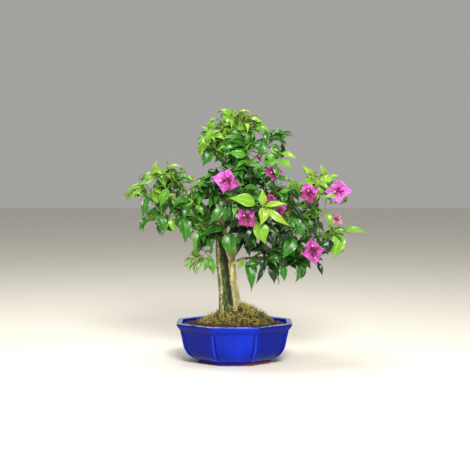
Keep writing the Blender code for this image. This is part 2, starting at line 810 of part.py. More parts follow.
def bract_leaves(centre, facing, turn, length):
    """The bracts of one cluster, set evenly round the way that it faces."""
    axis = Vector(facing).normalized()
    side = axis.cross(UP).normalized()
    other = side.cross(axis)
    leaves = []
    for k in range(BRACTS):
        angle = math.radians(turn) + 2 * math.pi * k / BRACTS
        spoke = side * math.cos(angle) + other * math.sin(angle)
        direction = (axis * math.cos(BRACT_OPENING) + spoke * math.sin(BRACT_OPENING)).normalized()
        leaves.append(Leaf(centre, direction, axis, length * MM, length * BRACT_WIDTH_SHARE * MM))
    return leaves


def place_sprays(growths, skins):
    """The blossom and the marker leaves, which every mass then grows round."""
    sprays = [(metres(c), bract_leaves(metres(c), f, t, s)) for c, f, t, s in BLOSSOMS]
    for root, tip, width in MARKER_LEAVES:
        sprays.append((metres(root), [leaf_to(metres(root), metres(tip), width * MM)]))
    placed = []
    for root, leaves in sprays:
        growth = growths[owner_of(root).name]
        twig = growth.attach(root, skins)
        if twig is None:
            continue
        placed.append(BVHTree.FromPolygons(twig_points(twig, LEAF_GAP), TWIG_FACES))
        for leaf in leaves:
            growth.blades.append(leaf)
            placed.append(BVHTree.FromPolygons(leaf_points(leaf, LEAF_GAP, 0.1), LEAF_FACES))
    return placed


def nearest_blade(blades, place):
    """The number of the blade whose foot is nearest to a place."""
    distances = [(leaf.root + leaf.along * leaf.length * 0.2 - place).length for leaf in blades]
    return distances.index(min(distances))


def fuse(growth, name, collection):
    """One closed body from a mass's twigs and blades. A blade that doesn't fuse cleanly is dropped."""
    for _ in range(FUSE_TRIES):
        pieces = [loose("twig", twig_mesh(twig)) for twig in growth.twigs]
        pieces += [loose("leaf", leaf_mesh(leaf)) for leaf in growth.blades]
        body = pieces.pop(0)
        collection.objects.link(body)
        boolean(body, "UNION", pieces)
        bad = weld(body.data, WELD)
        keep_largest_shell(body.data)
        if not bad:
            break
        dropped = {nearest_blade(growth.blades, place) for place in bad}
        growth.blades = [leaf for k, leaf in enumerate(growth.blades) if k not in dropped]
        remove_object(body)
    body.name = name
    body.data.name = name
    return body


def make_masses(collection, material, paths, skins):
    growths = {mass.name: Growth(mass, paths) for mass in MASSES}
    placed = place_sprays(growths, skins)
    for number, mass in enumerate(MASSES):
        growth = growths[mass.name]
        rng = random.Random(number + 1)
        shoots = []
        for point in shoot_points(mass, rng):
            twig = growth.attach(point, [*skins, *placed])
            if twig:
                shoots.append(twig)
        trees = [*skins, *placed]
        for twig in shoots:
            grow_leaves(growth, twig, rng, trees)
        body = fuse(growth, f"{mass.name}_foliage", collection)
        body.data.materials.clear()
        body.data.materials.append(material)


def main():
    clear_scene()
    collection = new_collection("bougainvillea_bonsai")
    glaze = principled("cobalt_glaze", (0.02, 0.03, 0.42), 0.18)
    earth = principled("soil", (0.05, 0.03, 0.02), 0.95)
    moss_green = principled("moss", (0.16, 0.15, 0.03), 0.95)
    bark = principled("bark", (0.35, 0.29, 0.17), 0.85)
    leaf_green = principled("leaf", (0.05, 0.20, 0.03), 0.4)
    make_pot(collection, glaze)
    soil = soil_body(0)
    collection.objects.link(soil)
    soil.data.materials.append(earth)
    trunk = trunk_body()
    collection.objects.link(trunk)
    trunk.data.materials.append(bark)
    make_moss(collection, moss_green)
    paths, skins = make_boughs(collection, bark)
    make_masses(collection, leaf_green, paths, skins)


main()
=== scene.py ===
"""Looks of a bougainvillea bonsai: bark, twigs, leaves, blossom, moss, soil and a glazed pot.

Metres, +Z up, -Y the front. The plant's sizes are those of its solids, and its leaves grow on from
the same boughs by the same seeded rule, carried to more shoots and finer leaves.
"""

import itertools
import json
import math
import random
from typing import NamedTuple

import bpy
import numpy as np
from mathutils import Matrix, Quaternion, Vector, noise
from mathutils.bvhtree import BVHTree

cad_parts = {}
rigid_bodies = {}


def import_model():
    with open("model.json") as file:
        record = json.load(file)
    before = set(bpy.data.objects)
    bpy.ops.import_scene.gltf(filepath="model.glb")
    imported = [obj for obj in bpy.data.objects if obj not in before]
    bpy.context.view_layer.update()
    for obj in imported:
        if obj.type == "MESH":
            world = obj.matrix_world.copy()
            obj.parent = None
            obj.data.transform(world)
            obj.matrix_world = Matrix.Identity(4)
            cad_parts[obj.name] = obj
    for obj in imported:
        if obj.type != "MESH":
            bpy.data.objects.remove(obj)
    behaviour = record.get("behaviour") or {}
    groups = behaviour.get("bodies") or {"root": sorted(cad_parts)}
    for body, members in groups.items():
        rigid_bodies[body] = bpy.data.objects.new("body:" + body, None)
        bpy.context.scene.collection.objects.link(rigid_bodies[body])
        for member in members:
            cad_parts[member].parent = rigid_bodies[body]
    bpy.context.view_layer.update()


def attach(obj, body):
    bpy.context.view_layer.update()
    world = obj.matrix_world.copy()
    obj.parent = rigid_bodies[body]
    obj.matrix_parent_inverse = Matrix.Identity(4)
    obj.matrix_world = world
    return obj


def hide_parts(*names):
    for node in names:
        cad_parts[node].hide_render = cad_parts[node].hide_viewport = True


MM = 0.001
UP = Vector((0, 0, 1))
TURN = 2 * math.pi
GOLDEN_ANGLE = math.radians(137.508)
SOIL_SEED = 3
MOSS_SEED = 5
BLOSSOM_SEED = 7

# Camera, in metres: in front of the pot's middle, a little above it, looking slightly down
CAMERA_PLACE = (0.0011, -2.247, 0.3993)
CAMERA_DOWN = math.radians(4.07)
CAMERA_LENS = 91.9
SENSOR_WIDTH = 36.0

# Studio, in metres: a wide pale floor and an even light from all round
FLOOR_REACH = 6.0
STUDIO_COLOUR = (0.92, 0.91, 0.88, 1)
STUDIO_STRENGTH = 0.40

# Lights: name, place, target and size in metres, power in watts and colour
LIGHTS = (
    ("key", (0.25, -1.7, 1.25), (0, 0, 0.25), 0.6, 58, (1, 0.98, 0.94)),
    ("top", (-0.3, 0.2, 1.9), (0, 0, 0.3), 0.8, 20, (1, 1, 0.97)),
    ("fill", (-1.1, -1.5, 1.0), (0, 0, 0.25), 1.0, 2, (0.97, 0.98, 1)),
)

# Pot, in millimetres: its outside and inside as (half width, height)
POT_SIDES = 8
POT_DEPTH_SHARE = 0.8
POT_OUTSIDE = (
    (66.0, 0.0), (66.8, 1.4), (66.6, 6.0), (68.2, 7.2), (73.0, 8.5), (79.0, 12.6), (84.0, 17.5),
    (88.6, 24.0), (92.0, 31.0), (94.0, 38.5), (95.4, 46.0), (96.6, 52.0), (98.0, 57.5),
    (99.8, 62.0), (102.0, 65.6), (104.5, 68.6), (106.4, 71.4), (107.3, 74.0), (107.0, 75.8),
    (106.2, 76.8), (105.0, 77.0),
)
POT_INSIDE = ((99.6, 77.0), (98.4, 76.4), (97.6, 75.0), (95.6, 68.0), (93.0, 60.0), (92.0, 55.0))
OUTSIDE_STEPS = 3
INSIDE_STEPS = 2
PANEL_BULGE = 1.2
BULGE_START = 8.0
BULGE_RISE = 10.0
BEAD_RADIUS = 2.2
BEAD_SPAN = (11.0, 65.0)
BEAD_FADES = (6.0, 8.0)
GROOVE_DEPTH = 2.0
GROOVE_PLACE = 4.2
GROOVE_WIDTH = 1.5
# Painted shadow under the lip: its strength, and its height and spread in millimetres
LIP_SHADOW = 0.4
LIP_SHADOW_HEIGHT = 64.0
LIP_SHADOW_SPREAD = 3.4

# Places across a panel, from its middle to its corner
PANEL_PLACES = (0.0, 0.22, 0.42, 0.58, 0.7, 0.78, 0.84, 0.88, 0.91, 0.935, 0.955, 0.97, 0.985, 1.0)

# Glaze, in metres: where painted shade darkens it towards the side panels and where it wears thin to
# the sides, the rim's edge, the shade over the foot, and the line of bare clay, which is higher to
# the right
SIDE_PANEL_SHADE = (37 * MM, 50 * MM)
GLAZE_WORN = (66 * MM, 92 * MM)
RIM_EDGE = (75.6 * MM, 76.8 * MM)
FOOT_SHADE = (11 * MM, 5 * MM)
CLAY_SIDE = (8 * MM, 30 * MM)
CLAY_LINE = 0.6 * MM
CLAY_RISE = 2.6 * MM
CLAY_WAVER = 1.5 * MM

# Soil, in millimetres: its top as (share of the way from the middle to the wall, height)
SOIL_TOP = ((0.985, 70.0), (0.72, 73.0), (0.48, 78.5), (0.0, 80.0))
SOIL_HALF_WIDTH = 96.6
SOIL_UNDERSIDE = 60.0
SOIL_EDGE_DROP = 2.0
SOIL_LUMPS = 1.3
SOIL_LUMP_SCALE = 160
SOIL_CRUMB_SCALE = 420
SOIL_CRUMB_SHARE = 0.6
SOIL_RINGS = 34
SOIL_SIDES = 96
SOIL_GRAINS = 2600
GRAIN_SIZE = (0.7, 2.3)
GRAIN_STRETCH = (0.6, 1.2)
GRAIN_ROUGHNESS = 0.25
GRAIN_LIFT = 0.25
GRAIN_SPAN = (0.1, 0.93)
SOIL_TINTS = {"earth": (66, 46, 34), "earth_dark": (44, 31, 25), "earth_pale": (104, 80, 60)}
GRAIN_TINTS = (0, 1, 1, 2)

# Moss, in millimetres: a low mound round the trunk's foot, its profile as (half width, height)
MOSS_CENTRE = (-1.0, 2.0)
MOSS_DEPTH_SHARE = 0.72
MOSS_PROFILE = ((0, 108), (14, 108), (28, 99), (44, 92), (57, 85), (65, 78), (69, 72), (70, 68))
MOSS_LUMPS = 3.6
MOSS_LAYERS = ((45, 1.0), (110, 0.5), (300, 0.3))
MOSS_LUMP_FADE = 6
MOSS_LEFT_SHARE = 0.9
MOSS_LEFT_DROP = 7.0
MOSS_RINGS = 40
MOSS_SIDES = 72
MOSS_TUFTS = 1300
MOSS_EDGE = 0.85
TUFT_SPAN = (0.02, 0.96)
TUFT_STRANDS = 7
TUFT_SIZES = (0.6, 1.25)
TUFT_AT_EDGE = 0.75
TUFT_LEAN = 0.9
TUFT_SPREAD = 0.75
STRAND_LENGTH = (3.0, 12.5)
STRAND_RADIUS = 0.42
STRAND_TAPER = (1, 0.9, 0.3)
STRAND_FOOT_SPREAD = 0.7
STRAND_BEND = 0.5
STRAND_SIDES = 3

# Moss tints by name, and which of them a tuft takes: each limit is where the next tint begins
MOSS_TINTS = {
    # The bed between the tufts is nearly black: painted shade
    "bed": (32, 30, 8),
    "dark": (38, 42, 10),
    "olive": (88, 88, 26),
    "gold": (200, 172, 98),
    "bright": (158, 160, 66),
    "brown": (92, 66, 30),
}
MOSS_ORDER = ("brown", "dark", "olive", "gold", "bright")
MOSS_LIMITS = (-0.75, -0.45, -0.05, 0.4)
MOSS_SHADE = (-0.12, 0.42)
MOSS_PATCHES = 0.9
MOSS_PATCH_SCALE = 90
MOSS_MIDDLE_LIGHT = 0.7
MOSS_LIGHT_REACH = 0.6
STRAND_SHADE_SPREAD = 0.22

# Trunk: height, x, y, radius and how deep its channels are cut, as a share of the radius
TRUNK_STATIONS = (
    (80.3, -6.0, 1.0, 21.0, 0.26),
    (105.0, -8.5, 1.0, 20.6, 0.34),
    (140.0, -12.0, 1.0, 19.4, 0.42),
    (175.0, -15.5, 0.0, 18.6, 0.46),
    (197.0, -17.5, 0.0, 18.4, 0.46),
    (213.0, -20.5, 1.0, 15.4, 0.34),
    (230.0, -24.0, 2.0, 11.6, 0.20),
    (255.0, -23.5, 3.0, 9.6, 0.14),
    (300.0, -14.0, 4.0, 7.8, 0.10),
    (350.0, -2.0, 5.0, 5.6, 0.08),
    (388.0, 6.0, 6.0, 4.0, 0.05),
    (412.0, 9.0, 6.0, 3.0, 0.03),
)
TRUNK_SIDES = 96
TRUNK_RINGS = 190
TRUNK_STOPS = 18

# Channels down the trunk: middle and spread in degrees, and share of the full depth
TRUNK_CHANNELS = ((-93.0, 26.0, 1.0), (78.0, 22.0, 0.5), (178.0, 16.0, 0.3), (-18.0, 14.0, 0.25))

# Where the bark is mossy and dark: middles, spreads and wanderings in degrees, and heights in
# millimetres, also those over which it wanders
CHANNEL_DARK_MIDDLE = -98.0
CHANNEL_DARK_SPREAD = 33.0
CHANNEL_TOP = 268.0
CHANNEL_FADE = 30.0
CHANNEL_WANDER = 9
CHANNEL_WANDER_STEP = 22
CHANNEL_RIPPLE = 4
CHANNEL_RIPPLE_STEP = 9
CHANNEL_SHADE_MIDDLE = -83.0
CHANNEL_SHADE_SPREAD = 15.0
SHADE_WANDER = 8
SHADE_WANDER_STEP = 16
DAMP_SIDE = -150.0
DAMP_SIDE_SPREAD = 46.0
DAMP_SIDE_SHARE = 0.555
DAMP_SIDE_TOP = 300.0
DAMP_SIDE_FADE = 60.0

# Relief of the bark and the roots, in millimetres, with the scales of its noise
BARK_GRAIN = (260, 260, 45)
BARK_STREAKS = 0.75
BARK_FINE_GRAIN = (700, 700, 240)
BARK_PITS = 0.3
BARK_RINGS = 0.22
BARK_RING_STEP = 4.1
BARK_RING_WAVER = 2.2
BARK_RING_SCALE = 60
RELIEF_ON_THIN = 0.35
RELIEF_BY_GIRTH = 0.65
THICK_TRUNK = 20
BOUGH_BARK_LAYERS = ((330, 0.25), (900, 0.12))
ROOT_FLARE = 6.5
ROOT_FLARE_HEIGHT = 15.0
ROOT_RIDGES = 5
ROOT_RIDGE_SHARE = 0.45
ROOT_RIDGE_TURN = 0.6
HOLLOW_SINK = 0.9
HOLLOW_PITS = 0.5
HOLLOW_PIT_SCALE = 300
SHADE_SINK = 1.6

# Boughs, in millimetres, as in the solids, with a collar at their foot and knots along them. What
# goes with the girth comes before what is added to it
BOUGH_ENTRY = 0.55
BOUGH_ENTRY_MOST = 0.9
BOUGH_TAPER = 0.5
BOUGH_THINNEST = 1.3
BOUGH_SIDES = 12
THICK_BOUGH = 6.0
BOUGH_RING_STEP = 3.0
BOUGH_RISE = 0.08
COLLAR = 0.45
COLLAR_LENGTH = (1.6, 3)
KNOT = 0.16
KNOT_STEP = 0.9
KNOT_SHIFT = 7
BURIED_SHARE = 0.4
BURIED_RISE = 0.3
ROUGH_GIRTH = 4
PATH_STEP = 24.0


class Mass(NamedTuple):
    """A mass of foliage, in millimetres: how young its leaves are and how lit they look, lower for
    the inner masses as painted shade, its middle, how far it reaches each way and its shoots. Then
    its bough's parent, place on it, radius and stops on the way."""

    name: str
    youth_and_light: float
    centre: tuple
    reach: tuple
    shoots: int
    parent: str = ""
    place: float = 0.0
    girth: float = 0.0
    via: tuple = ()


MASSES = (
    Mass("apex", 3.0, (8, 5, 447), (58, 48, 32), 6, "trunk", 1.0),
    Mass("top_left", 2.3, (-34, -8, 412), (42, 46, 44), 4, "trunk", 0.82, 2.6),
    Mass("top_right", 1.6, (68, 0, 412), (44, 44, 40), 5, "trunk", 0.76, 3.0),
    Mass("top_front", 1.2, (18, -50, 400), (44, 38, 38), 5, "trunk", 0.80, 2.6),
    Mass("top_back", 1.4, (16, 60, 400), (52, 46, 44), 4, "trunk", 0.78, 2.8),
    Mass("centre_upper", 0.9, (20, -64, 354), (44, 38, 32), 4, "trunk", 0.70, 2.4),
    Mass("right_upper", 3.6, (140, -8, 334), (46, 46, 40), 4, "trunk", 0.33, 9.0,
         ((4, 3, 216), (16, 1, 238), (60, -3, 284))),
    Mass("right_far", 3.8, (188, 0, 320), (42, 44, 40), 3, "right_upper", 0.80, 2.6),
    Mass("right_mid", 1.8, (126, -48, 272), (42, 40, 38), 5, "right_upper", 0.55, 3.0),
    Mass("right_tip", 2.4, (190, -10, 240), (54, 42, 36), 4, "right_upper", 0.42, 3.4,
         ((110, -8, 250),)),
    Mass("right_back", 1.2, (118, 80, 290), (60, 54, 52), 4, "right_upper", 0.50, 3.6),
    Mass("centre_low", 0.5, (40, -68, 252), (40, 38, 40), 5, "right_upper", 0.24, 2.8),
    Mass("right_low", 0.9, (124, -18, 202), (50, 46, 46), 5, "trunk", 0.27, 3.4,
         ((6, -13, 193), (48, -12, 198))),
    Mass("right_low_inner", 1.0, (58, -24, 192), (44, 38, 46), 4, "right_low", 0.36, 2.2),
    Mass("right_low_back", 1.0, (88, 52, 210), (44, 42, 40), 4, "right_low", 0.50, 2.2),
    Mass("left_upper", 2.3, (-116, 0, 344), (48, 46, 38), 5, "trunk", 0.53, 4.4, ((-60, 0, 296),)),
    Mass("left_tip", 2.7, (-164, 0, 316), (46, 44, 38), 4, "left_upper", 0.66, 2.8),
    Mass("left_back", 1.5, (-110, 78, 306), (54, 50, 44), 4, "left_upper", 0.45, 3.0),
    Mass("left_low", 1.6, (-144, -22, 272), (44, 40, 36), 4, "trunk", 0.46, 3.8,
         ((-70, -10, 262),)),
    Mass("left_inner", 1.2, (-84, -46, 290), (40, 40, 44), 4, "left_low", 0.42, 2.4),
    Mass("left_back_low", 1.4, (-72, 72, 262), (42, 40, 36), 4, "left_back", 0.40, 2.2),
    Mass("left_low_inner", 1.1, (-54, -36, 250), (38, 36, 36), 4, "trunk", 0.43, 2.4),
    Mass("centre_left", 0.7, (-40, -60, 318), (38, 40, 42), 5, "trunk", 0.58, 2.6),
    Mass("centre_front", 0.7, (12, -90, 302), (42, 38, 44), 4, "trunk", 0.54, 2.8),
    Mass("centre_right", 0.7, (70, -60, 328), (40, 44, 42), 4, "trunk", 0.63, 3.0),
    Mass("back_centre", 1.5, (-10, 105, 338), (60, 56, 54), 5, "trunk", 0.60, 3.4),
    Mass("back_low", 1.1, (16, 100, 270), (56, 50, 40), 4, "trunk", 0.49, 3.2),
    Mass("low_sprig", 3.1, (-66, -6, 192), (38, 24, 28), 4, "trunk", 0.24),
)

# Twigs, in metres, and the shares of shoots in the masses that have fewer
STEM_RADIUS = 1.7 * MM
TWIG_RADIUS = 0.85 * MM
TWIG_TIP_SHARE = 0.5
TWIG_SIDES = 6
TWIG_STEPS = 6
TWIG_BOW = 0.10
TWIG_SEATS = (0.97, 0.85, 0.72, 0.6, 0.48, 0.36, 0.24)
TWIG_LONGEST = 60.0 * MM
SEAT_SPACING = 1.6 * MM
FORK_STRAIGHTNESS = 1.6
SHOOT_SHARE = 3.7
SPARSE = {
    "low_sprig": 0.5, "apex": 0.85, "top_left": 0.85, "top_right": 0.9, "right_upper": 0.6,
    "right_far": 0.6, "right_tip": 0.6, "left_tip": 0.65,
}
SHOOT_DEPTH = (0.36, 0.86)
SHOOT_STEPS_IN = (1.0, 0.8, 0.6, 0.45)
SHOOT_MARGIN = 2.0 * MM

# Thorns, in metres and as shares, with their length in millimetres
THORN_SEATS = (0.3, 0.62)
THORN_LENGTH = (4.0, 7.5)
THORNED_SPAN = 18.0 * MM
THORN_RADIUS = 0.55 * MM
THORN_TAPER = np.array((1.0, 0.6, 0.08))
THORN_SPREAD = 0.8
THORN_BOW = 0.06
THORN_SIDES = 4
THORNLESS_SHARE = 0.35

# Leaves, in metres and as shares of their length or width
LEAF_LENGTH = 52.0 * MM
LEAF_SPREAD = 0.16
LEAF_WIDTH_SHARES = (0.27, 0.39)
LEAF_WIDTH_SPREAD = (0.92, 1.08)
LEAF_WIDEST = 0.42
LEAF_THICK = 0.35 * MM
LEAF_SPACING = 4.8 * MM
LEAST_SPACING = 0.6
SPACING_GROWTH = 0.1
LEAVES_A_SHOOT = 8
YOUNG_LEAVES = 3
FIRST_LEAF_BACK = 0.5 * MM
LEAFY_SHARE = 0.9
STEPS_BETWEEN_TRIES = 3
LEAF_SHRINKS = (1.0,) * 7 + (0.88,) * 7 + (0.76,) * 5 + (0.64,) * 5
YOUNG_SIZE = 0.66
SIZE_BY_AGE = 0.34
# Painted light: leaves higher in their mass take lighter tints
PAINTED_LIGHT_BY_HEIGHT = 0.7
YOUTH_TO_TIP = 0.8
YOUTH_SPREAD = 0.4
TINT_SPREAD = 0.25
SMALL_LEAVED = {"low_sprig": 0.60, "apex": 0.94, "top_left": 0.94, "right_far": 0.9, "left_tip": 0.92}
LEAF_ARCHES = (0.10, 0.30)
LEAF_FOLDS = (0.12, 0.34)
CALM_FOLDS = (0.10, 0.20)
LEAF_TWIST = 0.45
CALM_TWIST = 0.2
LEAF_RIPPLES = (0.03, 0.08)
LEAF_ROLL = 0.45
PETIOLE_SHARE = 0.13
PETIOLE_RADIUS = 0.45 * MM
PETIOLE_BOW = 0.08
PETIOLE_STEPS = 2
PETIOLE_SIDES = 4
CALM_PETIOLE = 0.5
REACH_SLACK = 1.10

# How a leaf leans out from its shoot and droops: in degrees and as a share, when it is young and
# what its age adds
LEAST_TILT = (20, 40)
MOST_TILT = (60, 45)
DROOP = 0.5
DROOP_BY_AGE = (0.4, 0.8)
DROOP_SPREAD = (0.6, 1.4)
FACING_OUT = 1.4
LEAST_FACING = 0.1

# A blade: the places along it, how wide it is there, and its columns across, upper side first
LEAF_STATIONS = np.array((0.05, 0.14, 0.26, 0.40, 0.54, 0.68, 0.80, 0.90))
LEAF_OUTLINE = np.array((0.30, 0.68, 0.95, 1.0, 0.83, 0.53, 0.26, 0.09))
BRACT_OUTLINE = np.array((0.50, 0.84, 1.0, 0.91, 0.66, 0.39, 0.18, 0.06))
LEAF_ACROSS = np.array((-1.0, -0.55, -0.05, 0.05, 0.55, 1.0, 0.55, 0.0, -0.55))
LEAF_UNDER = np.array((0, 0, 0, 0, 0, 0, 1, 1, 1))
LEAF_RIB = 2
LEAF_EDGES = (0, 5)
LEAF_BULGE = 0.16
LEAF_BEND = 0.07
LEAF_WAVES = 2.2
WAVE_LAG = 1.9

# Where a leaf's outline is looked at, along it and to each side, as shares of length and width
SEEN_STATIONS = ((0.2, 0.35), (0.42, 0.45), (0.62, 0.32), (0.8, 0.12), (1.0, 0.0))

# A leaf as six points, to see what it touches: how far its edges lift, as a share of its width,
# half its thickness in millimetres, and the share by its foot that is left out of the test
ROUGH_LIFT = 0.13
ROUGH_HALF_THICK = 0.6
PLACED_SKIP = 0.2
TRIED_SKIP = 0.3
ROUGH_FACES = ((0, 2, 4), (0, 4, 3), (0, 3, 5), (0, 5, 2), (1, 4, 2), (1, 3, 4), (1, 5, 3), (1, 2, 5))
CROWD_CELL = 60 * MM

# Blossom, as shares of a bract's length unless in metres
BRACT_WIDTH_SHARE = 0.92
BRACT_OPENING = math.radians(66)
BRACT_SIZES = (1.0, 0.88, 0.96, 0.84)
BRACT_IS_UP = 0.1
BRACT_IS_DOWN = -0.35
BRACT_THICK = 0.25 * MM
BRACT_DARK_ROWS = 2
BRACT_FOLDS = (0.12, 0.26)
BRACT_ARCHES = (-0.18, -0.06)
BRACT_RIPPLES = (0.14, 0.22)
BRACT_TWIST = 0.4
FLOWERS = 3
FLOWER_SEAT = 0.08
FLOWER_LEAN = 0.75
FLOWER_LENGTHS = (0.5, 0.64)
FLOWER_RADIUS = 0.045
FLOWER_GIRTHS = np.array((0.8, 1.3, 1.0, 0.8, 1.1))
FLOWER_BOW = 0.05
FLOWER_SIDES = 7
OPEN_FLOWERS = 1
OPEN_FLOWER_REACH = 0.075
SHUT_FLOWER_REACH = 0.04
STAR_POINTS = 10
STAR_NOTCH = 0.55
STAR_BACK = 0.15
STAR_MIDDLE = 0.1
STAR_RISE = 0.3

# Bract tints as seen in daylight: inner side, rib and outer side. Light, mid and deep are one magenta
# lit and shaded, painted by the way a bract faces; pale is a bud's own pink
BRACT_TINTS = {
    "light": ((196, 92, 190), (156, 44, 134), (190, 86, 180)),
    "mid": ((162, 62, 146), (120, 28, 98), (154, 58, 138)),
    "deep": ((142, 28, 108), (100, 14, 72), (134, 32, 102)),
    "pale": ((200, 122, 158), (166, 84, 126), (186, 118, 150)),
}
BRACT_NAMES = tuple(BRACT_TINTS)

# The parts of a blade, each with its own material in every tint
PARTS = 3
UPPER, RIB, UNDER = range(PARTS)
TUBE_SLOT = PARTS * len(BRACT_TINTS)
STAR_SLOT = TUBE_SLOT + 1


class Blossom(NamedTuple):
    """A cluster: its middle in millimetres, the way it faces, its turn in degrees, its bracts'
    length, how many they are and the tints of those that face up, across and down, a lighter one up
    as painted light and a darker one down as painted shade."""

    centre: tuple
    facing: tuple
    turn: float
    length: float
    bracts: int = 3
    tints: tuple = ("light", "mid", "deep")


BLOSSOMS = (
    Blossom((-13, -92, 343), (-0.1, -1.0, 0.0), 14, 32, 4, ("light", "mid", "mid")),
    Blossom((21, -108, 279), (0.1, -1.0, -0.2), 50, 27, 4, ("mid", "mid", "deep")),
    Blossom((69, -96, 360), (0.3, -0.9, -0.2), 8, 22, 4, ("deep", "deep", "deep")),
    Blossom((136, -56, 322), (0.1, -0.9, -0.3), 64, 26, 4, ("light", "mid", "deep")),
    Blossom((190, -34, 322), (0.2, -0.9, 0.0), 2, 32, 4, ("light", "light", "light")),
    Blossom((142, -60, 214), (0.1, -1.0, 0.0), 80, 31, 4, ("mid", "mid", "mid")),
    Blossom((191, 4, 268), (0.4, -0.8, 0.6), 10, 19, 3, ("pale", "pale", "pale")),
    Blossom((44, -58, 382), (0.9, -0.5, 0.6), 30, 10, 3, ("deep", "deep", "deep")),
    Blossom((82, -90, 291), (0.6, -0.8, -0.3), 130, 17, 3, ("mid", "deep", "deep")),
    Blossom((66, -84, 311), (0.2, -0.9, 0.3), 70, 13, 3, ("deep", "deep", "deep")),
    Blossom((-10, 150, 330), (-0.2, 1.0, 0.2), 40, 28),
    Blossom((56, 116, 300), (0.4, 1.0, 0.1), 10, 26),
    Blossom((-112, 124, 300), (-0.6, 0.8, 0.3), 75, 27, 4),
    Blossom((150, 120, 292), (0.7, 0.8, 0.1), 50, 28),
    Blossom((4, 98, 424), (0.1, 0.8, 0.5), 15, 25),
)

